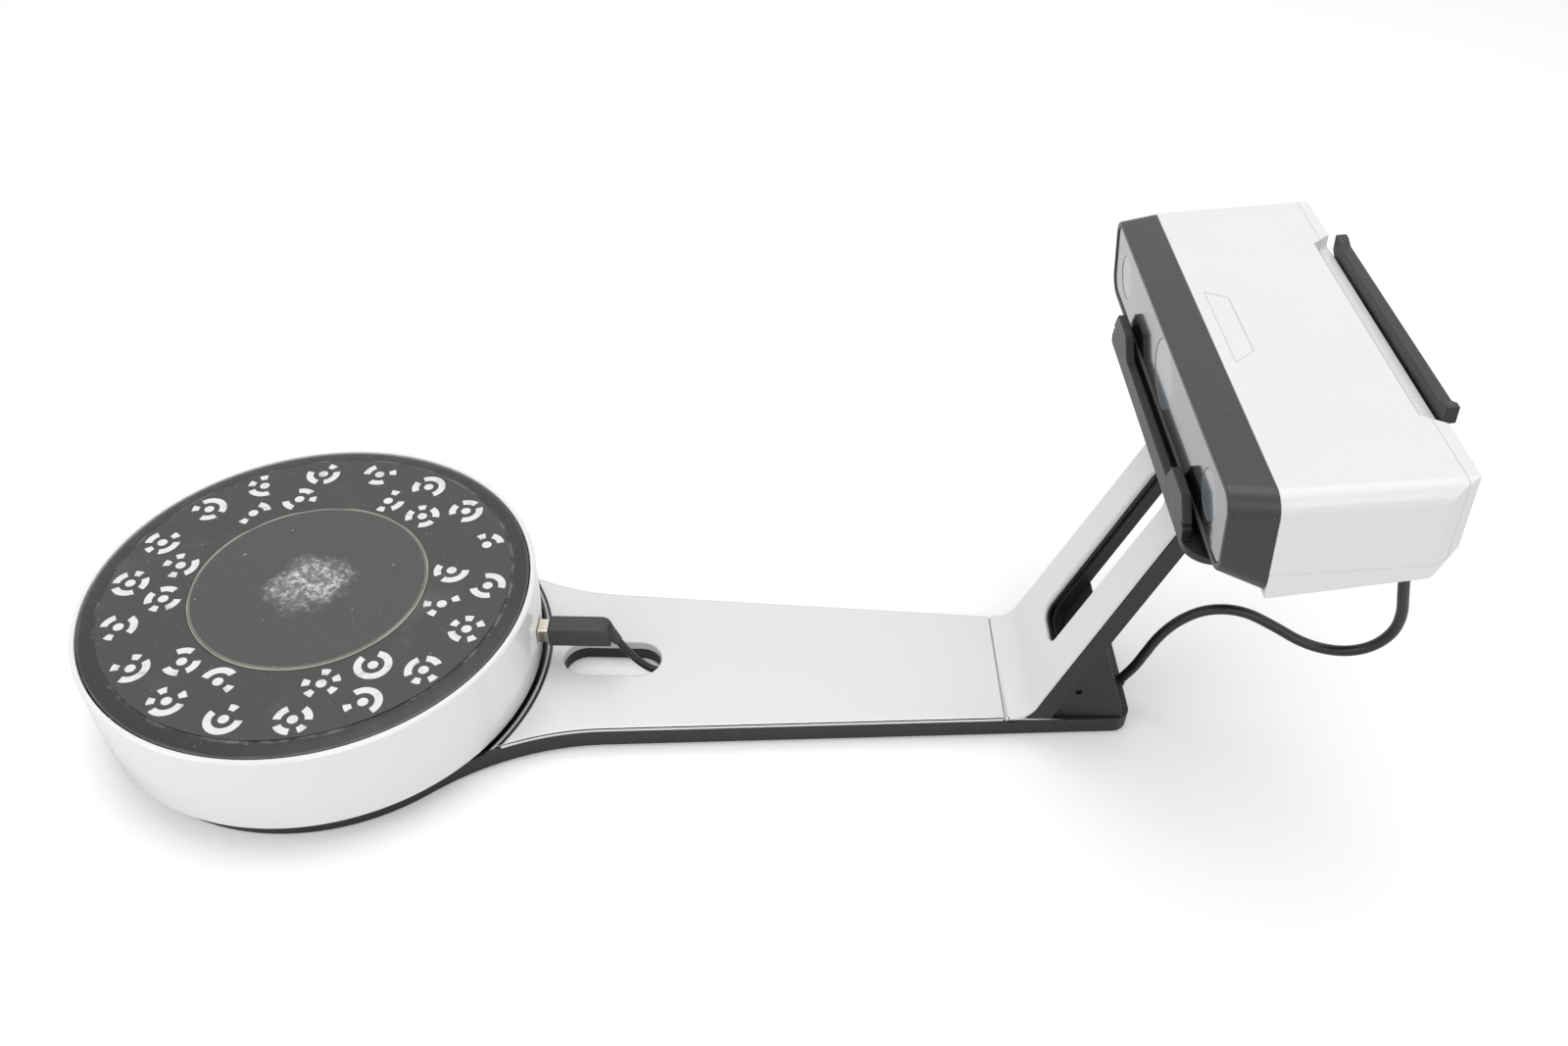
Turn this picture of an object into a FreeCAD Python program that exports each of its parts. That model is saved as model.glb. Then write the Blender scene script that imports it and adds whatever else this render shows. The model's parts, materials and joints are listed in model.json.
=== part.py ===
import FreeCAD, Part
import math
import os
import re

import Sketcher

# Desktop turntable scanner: a motor turntable docked on a long flat base, whose far end
# bends up into a slotted arm with a cradle that holds the scanning head.
# Frame: +X from the turntable towards the head, +Z up, origin under the middle of the box.

SIZES = [
    ("turntable, base and arm", None),
    ("axis_x", -180.0),            # turntable axis, from the origin
    ("drum_radius", 105.0),        # outside of the drum
    ("drum_foot_radius", 104.0),   # the drum's side leans in by this at its foot
    ("drum_wall", 2.6),
    ("post_ring", 95.0),           # the drum's screw posts stand on this radius
    ("post_radius", 4.0),
    ("post_height", 20.0),
    ("drum_bottom", 13.2),
    ("drum_top", 59.0),
    ("foot_height", 1.6),
    ("foot_radius", 7.0),
    ("base_top", 10.7),            # top of the black shell, seat of the white cover
    ("base_floor", 2.0),
    ("base_wall", 2.5),
    ("base_radius", 98.5),         # round end of the base, under the drum
    ("cover_thick", 2.6),
    ("neck_start", 60.0),          # all lengths along the base run from the turntable axis
    ("neck_root_half", 49.75),     # half width where the neck starts, inside the round end
    ("neck_end_half", 34.4),       # half width at the cover's seam
    ("heel_half", 33.0),
    ("seam_at", 330.0),
    ("base_length", 391.5),
    ("heel_corner", 8.0),
    ("flare_radius", 130.0),
    ("slot_at", 139.5),            # middle of the cable slot
    ("slot_length", 48.0),
    ("slot_width", 22.0),
    ("slot_rim", 1.6),
    ("slot_rim_split", 8.0),       # the cover's collar ends here, the shell's starts
    ("ring_gap", 0.4),
    ("ring_width", 3.4),
    ("ring_step", 0.9),
    ("arm_corner_at", 339.5),      # where the arm's front meets the base's top, before the bend
    ("arm_angle", 68.25),
    ("arm_bend", 12.8),
    ("arm_thick", 11.6),
    ("arm_foot_half", 33.4),
    ("arm_top_half", 28.6),
    ("arm_slot_low", 40.0),
    ("arm_slot_high", 132.0),
    ("arm_slot_width", 23.0),
    ("arm_slot_corner", 6.0),
    ("stiffener_thick", 1.5),
    ("heel_web_half", 30.0),
    ("heel_wall", 3.0),
    ("heel_top", 60.0),
    ("heel_hole", 1.5),
    ("heel_hole_at", 363.7),
    ("heel_hole_height", 27.5),
    ("grommet_length", 5.0),
    ("pan_top", 13.3),
    ("turntable drive", None),
    ("platter_radius", 101.8),
    ("platter_top", 60.0),
    ("platter_thick", 4.0),
    ("platter_bevel", 7.6),
    ("platter_bevel_drop", 1.5),
    ("sheet_radius", 93.5),
    ("sheet_thick", 0.4),
    ("pad_radius", 54.0),
    ("pad_thick", 1.0),
    ("spindle_radius", 4.0),
    ("bearing_radius", 11.0),
    ("bearing_height", 7.0),
    ("bearing_low", 18.0),
    ("bearing_high", 30.0),
    ("ball_radius", 1.9),
    ("ball_count", 8),
    ("housing_radius", 14.5),
    ("housing_top", 38.0),
    ("flange_radius", 17.0),
    ("flange_thick", 8.0),
    ("gear_module", 0.9),
    ("gear_teeth", 72),
    ("pinion_teeth", 18),
    ("gear_thick", 5.6),
    ("gear_backlash", 0.16),
    ("motor_side", 35.2),
    ("motor_height", 22.0),
    ("motor_shaft_radius", 2.5),
    ("bracket_thick", 2.0),
    ("screw_radius", 1.5),
    ("screw_head_radius", 2.8),
    ("screw_head", 1.6),
    ("socket_height", 32.0),
    ("socket_wide", 12.0),
    ("socket_tall", 11.0),
    ("socket_deep", 16.0),
    ("tongue_wide", 8.4),
    ("tongue_tall", 7.8),
    ("plug_start", 110.0),
    ("plug_length", 30.0),
    ("plug_wide", 10.5),
    ("plug_tall", 11.0),
    ("board_thick", 1.6),
    ("lead_radius", 2.4),
    ("short_lead_radius", 1.9),
    ("clearance", 0.3),
    ("fit_gap", 0.05),
    ("scanner head", None),
    ("head_x", 377.5),             # lower front edge of the head, from the turntable axis
    ("head_z", 167.2),
    ("head_pitch", 6.5),
    ("face_half", 101.4),          # bezel at its front
    ("face_low", 2.4),
    ("face_high", 39.9),
    ("bezel_deep", 16.7),
    ("head_half", 104.8),
    ("head_low", -5.3),
    ("head_top", 40.3),
    ("head_deep", 84.0),
    ("head_corner", 8.0),
    ("head_taper_at", 73.0),
    ("head_back_half", 97.9),
    ("head_back_low", 8.0),
    ("belly_end", 75.0),
    ("head_wall", 2.2),
    ("shell_split", 6.0),
    ("rear_cover_deep", 4.6),
    ("panel_thick", 2.0),
    ("panel_rim", 2.6),
    ("panel_inset", 0.6),
    ("window_height", 21.5),
    ("camera_at", 76.6),
    ("camera_window", 9.75),
    ("projector_window", 14.5),
    ("window_thick", 1.2),
    ("scoop_half", 62.0),
    ("scoop_deep", 8.0),
    ("scoop_drop", 5.0),
    ("scoop_flare", 6.0),          # the scoop's ends spread by this towards the back
    ("bench_at", 30.0),
    ("bench_thick", 3.0),
    ("barrel_radius", 8.0),
    ("camera_side", 26.0),
    ("camera_deep", 15.0),
    ("projector_barrel", 12.0),
    ("engine_half", 21.0),
    ("engine_deep", 38.0),
    ("main_board_height", 7.0),
    ("button_radius", 5.0),
    ("button_at", 66.0),
    ("button_height", 20.0),
    ("button_travel", 1.2),
    ("button_proud", 1.8),
    ("cradle", None),
    ("tray_half", 82.0),
    ("tray_front", -5.0),
    ("tray_back", 89.4),
    ("tray_thick", 3.2),
    ("tray_gap", 0.7),
    ("tray_corner", 12.0),
    ("tray_wall", 3.8),
    ("tray_lip_top", 1.2),
    ("prong_top", 10.7),
    ("prong_top_in", 46.3),
    ("prong_top_out", 62.9),
    ("prong_root_in", 40.0),
    ("prong_root_out", 69.6),
    ("rear_lip_half", 63.0),
    ("rear_lip_thick", 4.6),
    ("rear_lip_low", 31.0),
    ("rear_lip_top", 41.0),
    ("rear_leg_in", 14.0),
    ("rear_leg_out", 36.0),
]

os.makedirs("parts", exist_ok=True)
doc = FreeCAD.newDocument("desktop_scanner")
size = doc.addObject("Spreadsheet::Sheet", "size")
for row, (alias, number) in enumerate(SIZES, start=1):
    size.set("A%d" % row, alias)
    if number is not None:
        size.set("B%d" % row, str(number))
        size.setAlias("B%d" % row, alias)
doc.recompute()
ALIASES = {alias for alias, number in SIZES if number is not None}
NODES = []

UP = FreeCAD.Vector(0, 0, 1)
NO_TURN = FreeCAD.Rotation()
ALONG_X = FreeCAD.Rotation(FreeCAD.Vector(0, 1, 0), 90)
ALONG_Y = FreeCAD.Rotation(FreeCAD.Vector(1, 0, 0), -90)
HEAD = FreeCAD.Placement(
    FreeCAD.Vector(size.axis_x + size.head_x, 0, size.head_z),
    FreeCAD.Rotation(FreeCAD.Vector(0, 1, 0), -size.head_pitch),
)


# ---- how pieces are made ----------------------------------------------------------------

def formula(text):
    """The text with every alias written as a cell of the sheet."""
    def cell(found):
        word = found.group(0)
        return "size." + word if word in ALIASES else word
    return re.sub(r"[a-z_][a-z_0-9]*", cell, str(text))


def bind(obj, **sizes):
    """Ties properties of a piece to formulas over the sheet, and builds it."""
    for prop, text in sizes.items():
        obj.setExpression(prop, formula(text))
    obj.recompute()
    return obj


def cylinder(name, radius, height, at, turn=NO_TURN):
    obj = bind(doc.addObject("Part::Cylinder", name), Radius=radius, Height=height)
    obj.Placement = FreeCAD.Placement(FreeCAD.Vector(*at), turn)
    return obj


def cone(name, low, high, height, at, turn=NO_TURN):
    obj = bind(doc.addObject("Part::Cone", name), Radius1=low, Radius2=high, Height=height)
    obj.Placement = FreeCAD.Placement(FreeCAD.Vector(*at), turn)
    return obj


def ball(name, radius, at):
    obj = bind(doc.addObject("Part::Sphere", name), Radius=radius)
    obj.Placement = FreeCAD.Placement(FreeCAD.Vector(*at), NO_TURN)
    return obj


def box(name, length, width, height, at):
    """A box that starts at the given x and z and is centred on the given y."""
    obj = bind(doc.addObject("Part::Box", name), Length=length, Width=width, Height=height)
    corner = FreeCAD.Vector(at[0], at[1] - obj.Width.Value / 2, at[2])
    obj.Placement = FreeCAD.Placement(corner, NO_TURN)
    return obj


def join(name, *pieces):
    obj = doc.addObject("Part::MultiFuse", name)
    obj.Shapes = list(pieces)
    doc.recompute()
    return obj


def group(name, *pieces):
    obj = doc.addObject("Part::Compound", name)
    obj.Links = list(pieces)
    doc.recompute()
    return obj


def cut(name, base, *tools):
    obj = doc.addObject("Part::Cut", name)
    obj.Base = base
    obj.Tool = tools[0] if len(tools) == 1 else group(name + "_tools", *tools)
    doc.recompute()
    return obj


def common(name, first, second):
    obj = doc.addObject("Part::Common", name)
    obj.Base = first
    obj.Tool = second
    doc.recompute()
    return obj


def rounded(name, base, radius, chosen, kind="Part::Fillet"):
    """Rounds, or with kind Part::Chamfer bevels, the edges that chosen picks."""
    obj = doc.addObject(kind, name)
    obj.Base = base
    obj.Edges = [(number, radius, radius) for number, edge in enumerate(base.Shape.Edges, start=1)
                 if chosen(edge)]
    doc.recompute()
    return obj


def origin_plane(body, role):
    return [feature for feature in body.Origin.OriginFeatures if feature.Role == role][0]


def outline(body, name, role, corners):
    """A closed sketch whose corners are held at formulas over the sheet.

    The corners start on a unit circle, and their constraints take them to their places."""
    sketch = body.newObject("Sketcher::SketchObject", name)
    sketch.AttachmentSupport = [(origin_plane(body, role), "")]
    sketch.MapMode = "FlatFace"
    count = len(corners)
    turn = 2 * math.pi / count
    seeds = [FreeCAD.Vector(math.cos(turn * k), math.sin(turn * k), 0) for k in range(count)]
    for k in range(count):
        sketch.addGeometry(Part.LineSegment(seeds[k], seeds[(k + 1) % count]))
    for k in range(count):
        sketch.addConstraint(Sketcher.Constraint("Coincident", k, 2, (k + 1) % count, 1))
    for k, corner in enumerate(corners):
        starts = (seeds[k].x, seeds[k].y)
        for direction, start, text in zip("XY", starts, corner):
            held = Sketcher.Constraint("Distance" + direction, -1, 1, k, 1, start)
            number = sketch.addConstraint(held)
            sketch.setExpression("Constraints[%d]" % number, formula(text))
    return sketch


def prism(name, role, corners, length, at=(0, 0, 0), symmetric=False):
    """A body padded from an outline on one of its origin planes."""
    body = doc.addObject("PartDesign::Body", name)
    pad = body.newObject("PartDesign::Pad", name + "_pad")
    pad.Profile = outline(body, name + "_outline", role, corners)
    if symmetric:
        pad.SideType = "Symmetric"
    pad.setExpression("Length", formula(length))
    body.Placement = FreeCAD.Placement(FreeCAD.Vector(*at), NO_TURN)
    doc.recompute()
    return body


def turned(name, corners, at):
    """A body turned about the vertical axis at the given place, from a half section."""
    body = doc.addObject("PartDesign::Body", name)
    revolution = body.newObject("PartDesign::Revolution", name + "_turn")
    revolution.Profile = outline(body, name + "_outline", "XZ_Plane", corners)
    axis = [feature for feature in body.Origin.OriginFeatures if feature.Role == "Z_Axis"][0]
    revolution.ReferenceAxis = (axis, [""])
    revolution.Angle = 360
    body.Placement = FreeCAD.Placement(FreeCAD.Vector(*at), NO_TURN)
    doc.recompute()
    return body


def shaped(name, shape):
    obj = doc.addObject("Part::Feature", name)
    obj.Shape = shape
    return obj


def node(label, obj, frame=None):
    """Names a finished sub-part and, in the head's frame, carries it to its place."""
    obj.Label = label
    if frame is not None:
        obj.Placement = frame.multiply(obj.Placement)
    NODES.append(obj)
    return obj


def upright(edge):
    """True for a straight edge along Z."""
    if len(edge.Vertexes) != 2:
        return False
    ends = [vertex.Point for vertex in edge.Vertexes]
    span = ends[1] - ends[0]
    return abs(span.z) > 0.99 * edge.Length and edge.Length > 0.5


def along(edge, axis):
    """True for a straight edge along the axis."""
    if len(edge.Vertexes) != 2:
        return False
    span = edge.Vertexes[1].Point - edge.Vertexes[0].Point
    return abs(span.dot(axis)) > 0.999 * edge.Length


def ring_places(count, radius, start=0.0, centre=None):
    """Places at equal turns on a circle round the turntable axis."""
    middle = size.axis_x if centre is None else centre
    places = []
    for k in range(count):
        angle = math.radians(start + 360.0 * k / count)
        places.append((middle + radius * math.cos(angle), radius * math.sin(angle)))
    return places


# ---- base ---------------------------------------------------------------------------------

def base_plan(name, inset, bottom, height, end):
    """The base seen from above: a round end that flares into a tapering neck."""
    round_end = cylinder(name + "_round", "base_radius - %s" % inset, height,
                         (size.axis_x, 0, bottom))
    taper = "(neck_root_half - neck_end_half) / (seam_at - neck_start)"
    half = "(neck_root_half - %s - %s * (%s - neck_start))" % (inset, taper, end)
    root = "(neck_root_half - %s)" % inset
    neck = prism(name + "_neck", "XY_Plane", [
        ("neck_start", "-" + root),
        (end, "-" + half),
        (end, half),
        ("neck_start", root),
    ], height, (size.axis_x, 0, bottom))
    blank = join(name + "_blank", round_end, neck)
    flare = size.flare_radius + float(inset if inset == "0" else size.get(inset))

    def in_the_crook(edge):
        middle = edge.CenterOfMass
        near = size.axis_x + size.neck_start < middle.x < size.axis_x + size.base_radius
        return upright(edge) and near

    return rounded(name + "_flared", blank, flare, in_the_crook)


def cable_slot(name, grow, height, bottom):
    """A block with round ends: the cable slot's outline, grown all round."""
    middle = size.axis_x + size.slot_at
    reach = (size.slot_length - size.slot_width) / 2
    straight = box(name + "_mid", "slot_length - slot_width", "slot_width + 2 * (%s)" % grow, height,
                   (middle - reach, 0, bottom))
    ends = [cylinder(name + "_end%d" % k, "slot_width / 2 + %s" % grow, height,
                     (middle + side * reach, 0, bottom)) for k, side in enumerate((-1, 1))]
    return join(name, straight, *ends)


def build_base():
    """Black shell, white cover, dock ring, feet and screws of the flat base."""
    axis = size.axis_x
    shell_bottom = size.foot_height
    shell_height = "base_top - foot_height"
    outer = base_plan("shell_outer", "0", shell_bottom, shell_height, "base_length")
    corners = rounded("shell_corners", outer, size.heel_corner, lambda edge: upright(edge)
                      and edge.CenterOfMass.x > axis + size.base_length - 1)
    floor = shell_bottom + size.base_floor
    inner = base_plan("shell_inner", "base_wall", floor, shell_height, "seam_at")
    slot_at = axis + size.slot_at
    rim_wall = cable_slot("shell_rim_wall", "slot_rim", "slot_rim_split - foot_height", shell_bottom)
    slot_hole = cable_slot("shell_slot", "0", "base_top", 0)
    notch = box("shell_notch", "12", "2 * lead_radius + 0.6", "base_top",
                (slot_at + size.slot_length / 2 - 3, LEAD[-1][1], floor))
    channel_x = axis + size.seam_at - size.base_wall - 1
    channel = box("shell_channel", "base_length - seam_at - 1.5", "2 * lead_radius + 1.6", "base_top",
                  (channel_x, LEAD_EXIT_Y, floor))
    hollow = cut("shell_hollow", corners, inner, channel)
    walled = cut("shell_walled", join("shell_rimmed", hollow, rim_wall), slot_hole, notch)
    boss_holes = []
    for k, (x, y) in enumerate(COVER_BOSSES):
        boss_holes.append(cylinder("shell_screw_hole%d" % k, "screw_radius + 0.1", "base_top", (x, y, 0)))
        boss_holes.append(cylinder("shell_screw_seat%d" % k, "screw_head_radius + clearance",
                                   "screw_head - 0.4", (x, y, shell_bottom)))
    node("base_shell", cut("shell_final", walled, *boss_holes))

    cover_blank = base_plan("cover_plan", "0", size.base_top, "cover_thick", "seam_at")
    softened = rounded("cover_soft", cover_blank, 0.9, lambda edge:
                       edge.CenterOfMass.z > size.base_top + size.cover_thick - 0.01
                       and edge.CenterOfMass.x < axis + size.seam_at - 1
                       and edge.CenterOfMass.x > axis + size.base_radius * 0.6
                       and abs(edge.CenterOfMass.y) > 20, "Part::Chamfer")
    dock_hole = cylinder("cover_dock_hole", "drum_radius + ring_gap + ring_width + fit_gap", "3 * cover_thick",
                         (axis, 0, size.base_top - 1))
    sheet_part = cut("cover_plate", softened, dock_hole)
    collar = cable_slot("cover_collar", "slot_rim", "base_top - slot_rim_split + 0.5", size.slot_rim_split)
    bosses = [cylinder("cover_boss%d" % k, "screw_head_radius + 0.6", "base_top - base_floor - foot_height",
                       (x, y, floor)) for k, (x, y) in enumerate(COVER_BOSSES)]
    pilots = [cylinder("cover_pilot%d" % k, "screw_radius + fit_gap", "7", (x, y, floor - 0.5))
              for k, (x, y) in enumerate(COVER_BOSSES)]
    cover_slot = cable_slot("cover_slot", "0", "3 * base_top", 0)
    lead_way = box("cover_notch", "12", "2 * lead_radius + 0.6", "base_top - slot_rim_split",
                   (slot_at + size.slot_length / 2 - 3, LEAD[-1][1], size.slot_rim_split - 0.5))
    node("base_cover", cut("cover_final", join("cover_joined", sheet_part, collar, *bosses),
                           cover_slot, lead_way, *pilots))

    ring_out = "drum_radius + ring_gap + ring_width"
    steps = turned("ring_steps", [
        ("drum_radius + ring_gap", "base_top"),
        (ring_out, "base_top"),
        (ring_out, "base_top + cover_thick - ring_step"),
        ("drum_radius + ring_gap + ring_width * 0.66", "base_top + cover_thick - ring_step"),
        ("drum_radius + ring_gap + ring_width * 0.66", "base_top + cover_thick"),
        ("drum_radius + ring_gap + ring_width * 0.33", "base_top + cover_thick"),
        ("drum_radius + ring_gap + ring_width * 0.33", "base_top + cover_thick - ring_step"),
        ("drum_radius + ring_gap", "base_top + cover_thick - ring_step"),
    ], (axis, 0, 0))
    ring_plan = base_plan("ring_plan", "0", size.base_top - 1, "3 * cover_thick", "seam_at")
    node("dock_ring", common("ring_final", steps, ring_plan))

    feet = [cylinder("foot%d" % k, "foot_radius", "foot_height", (x, y, 0)) for k, (x, y) in
            enumerate(ring_places(4, size.base_radius - 14, 60) + [
                (axis + size.base_length - 14, size.heel_half - 12),
                (axis + size.base_length - 14, 12 - size.heel_half)])]
    node("rubber_feet", group("feet", *feet))

    screws = []
    for k, (x, y) in enumerate(COVER_BOSSES):
        head = cylinder("base_screw_head%d" % k, "screw_head_radius", "screw_head - 0.4",
                        (x, y, shell_bottom))
        shank = cylinder("base_screw_shank%d" % k, "screw_radius", "8",
                         (x, y, shell_bottom + 0.5))
        screws.append(join("base_screw%d" % k, head, shank))
    return screws


# ---- turntable ------------------------------------------------------------------------------

def build_drum(base_screws):
    """White drum, its pan, the spindle housing and the socket for the lead."""
    axis = size.axis_x
    side = turned("drum_side", [
        ("drum_foot_radius - drum_wall", "drum_bottom"),
        ("drum_foot_radius", "drum_bottom"),
        ("drum_radius", "drum_bottom + 20"),
        ("drum_radius", "drum_top - 1"),
        ("drum_radius - 1", "drum_top"),
        ("drum_radius - drum_wall + 0.3", "drum_top"),
        ("drum_radius - drum_wall", "drum_top - 0.3"),
        ("drum_radius - drum_wall", "drum_bottom + 20"),
    ], (axis, 0, 0))
    posts = []
    for k, (x, y) in enumerate(PAN_SCREWS):
        foot = size.pan_top
        posts.append(cylinder("drum_post%d" % k, "post_radius", "post_height", (x, y, foot)))
        web = box("drum_web%d" % k, "drum_radius - drum_wall - post_ring", "drum_wall", "post_height",
                  (x, y, foot))
        turn = FreeCAD.Rotation(UP, math.degrees(math.atan2(y, x - axis)))
        web.Placement = FreeCAD.Placement(
            FreeCAD.Vector(x, y, foot) - turn.multVec(FreeCAD.Vector(0, size.drum_wall / 2, 0)), turn)
        posts.append(web)
    pilots = [cylinder("drum_pilot%d" % k, "screw_radius + fit_gap", "14",
                       (x, y, size.drum_bottom)) for k, (x, y) in enumerate(PAN_SCREWS)]
    port = box("drum_port", "14", "socket_wide + 2 * clearance", "socket_tall + 2 * clearance",
               (axis + size.drum_radius - 10, 0,
                size.socket_height - size.socket_tall / 2 - size.clearance))
    node("drum_shell", cut("drum_final", join("drum_joined", side, *posts), port, *pilots))

    pan_bottom = size.base_top
    pan = cylinder("pan_disc", "drum_foot_radius - drum_wall - clearance",
                   "pan_top - base_top", (axis, 0, pan_bottom))
    holes = []
    for k, (x, y) in enumerate(PAN_SCREWS):
        holes.append(cylinder("pan_hole%d" % k, "screw_radius + 0.1", "9", (x, y, 8)))
        holes.append(cylinder("pan_seat%d" % k, "screw_head_radius + clearance", "screw_head",
                              (x, y, pan_bottom)))
    node("turntable_pan", cut("pan_final", pan, *holes))
    screws = list(base_screws)
    for k, (x, y) in enumerate(PAN_SCREWS):
        head = cylinder("pan_screw_head%d" % k, "screw_head_radius", "screw_head - 0.3",
                        (x, y, pan_bottom + 0.3))
        shank = cylinder("pan_screw_shank%d" % k, "screw_radius", "10", (x, y, pan_bottom + 1))
        screws.append(join("pan_screw%d" % k, head, shank))
    node("base_screws", group("base_screw_set", *screws))

    pan_top = size.pan_top
    node("spindle_housing", turned("housing", [
        ("spindle_radius + 2", "pan_top"),
        ("housing_radius + 7", "pan_top"),
        ("housing_radius + 7", "pan_top + 3"),
        ("housing_radius", "pan_top + 3"),
        ("housing_radius", "housing_top"),
        ("bearing_radius + fit_gap", "housing_top"),
        ("bearing_radius + fit_gap", "bearing_high"),
        ("bearing_radius - 2", "bearing_high"),
        ("bearing_radius - 2", "bearing_low + bearing_height"),
        ("bearing_radius + fit_gap", "bearing_low + bearing_height"),
        ("bearing_radius + fit_gap", "bearing_low"),
        ("spindle_radius + 2", "bearing_low"),
    ], (axis, 0, 0)))

    socket_x = axis + size.drum_radius - 1 - size.socket_deep
    socket_low = size.socket_height - size.socket_tall / 2
    block = box("socket_block", "socket_deep", "socket_wide", "socket_tall", (socket_x, 0, socket_low))
    mouth = box("socket_mouth", "socket_deep", "tongue_wide + 4 * fit_gap", "tongue_tall + 4 * fit_gap",
                (socket_x + 4, 0, size.socket_height - size.tongue_tall / 2 - 2 * size.fit_gap))
    node("turntable_socket", cut("socket_final", block, mouth))

    board_low = socket_low - size.board_thick
    board = box("board_plate", "36", "44", "board_thick", (socket_x - 28, 0, board_low))
    standoffs = [cylinder("board_post%d" % k, "3", "%g" % (board_low - pan_top),
                          (socket_x - 28 + dx, dy, pan_top))
                 for k, (dx, dy) in enumerate(((5, 17), (5, -17), (31, 17), (31, -17)))]
    node("board_standoffs", group("board_posts", *standoffs))
    chips = [box("chip%d" % k, *sizes, at=(socket_x - 28 + dx, dy, board_low + size.board_thick))
             for k, (sizes, dx, dy) in enumerate(((("9", "9", "1.4"), 8, 0), (("7", "5", "1.8"), 8, 13),
                                                  (("6", "8", "3"), 22, -14)))]
    node("turntable_board", group("turntable_board_set", board, *chips))


def gear_outline(teeth, phase):
    """Corners of an involute gear with three chords to each flank."""
    pitch = size.gear_module * teeth / 2
    pressure = math.radians(20)
    base = pitch * math.cos(pressure)
    root = pitch - 1.3 * size.gear_module
    tip = pitch + 0.92 * size.gear_module

    def involute(angle):
        return math.tan(angle) - angle

    half_pitch_tooth = math.pi / (2 * teeth) - size.gear_backlash / (4 * pitch)
    flank = []
    low = max(base, root)
    for k in range(4):
        radius = low + (tip - low) * k / 3
        turn = half_pitch_tooth + involute(pressure) - involute(math.acos(min(1.0, base / radius)))
        flank.append((radius, turn))
    if root < base - 0.05:
        flank.insert(0, (root, flank[0][1]))
    corners = []
    for tooth in range(teeth):
        middle = phase + 2 * math.pi * tooth / teeth
        for radius, turn in flank:
            corners.append((radius, middle - turn))
        for radius, turn in reversed(flank):
            corners.append((radius, middle + turn))
    points = [FreeCAD.Vector(radius * math.cos(turn), radius * math.sin(turn), 0)
              for radius, turn in corners]
    return Part.makePolygon(points + [points[0]])


def gear(name, teeth, phase, bore, bottom, x):
    """A spur gear with a plain bore, standing on the given height."""
    face = Part.Face(gear_outline(teeth, phase))
    blank = shaped(name + "_blank", face.extrude(FreeCAD.Vector(0, 0, size.gear_thick)))
    blank.Placement = FreeCAD.Placement(FreeCAD.Vector(x, 0, bottom), NO_TURN)
    hole = cylinder(name + "_bore", bore, "3 * gear_thick", (x, 0, bottom - 2))
    return cut(name + "_final", blank, hole)


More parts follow.
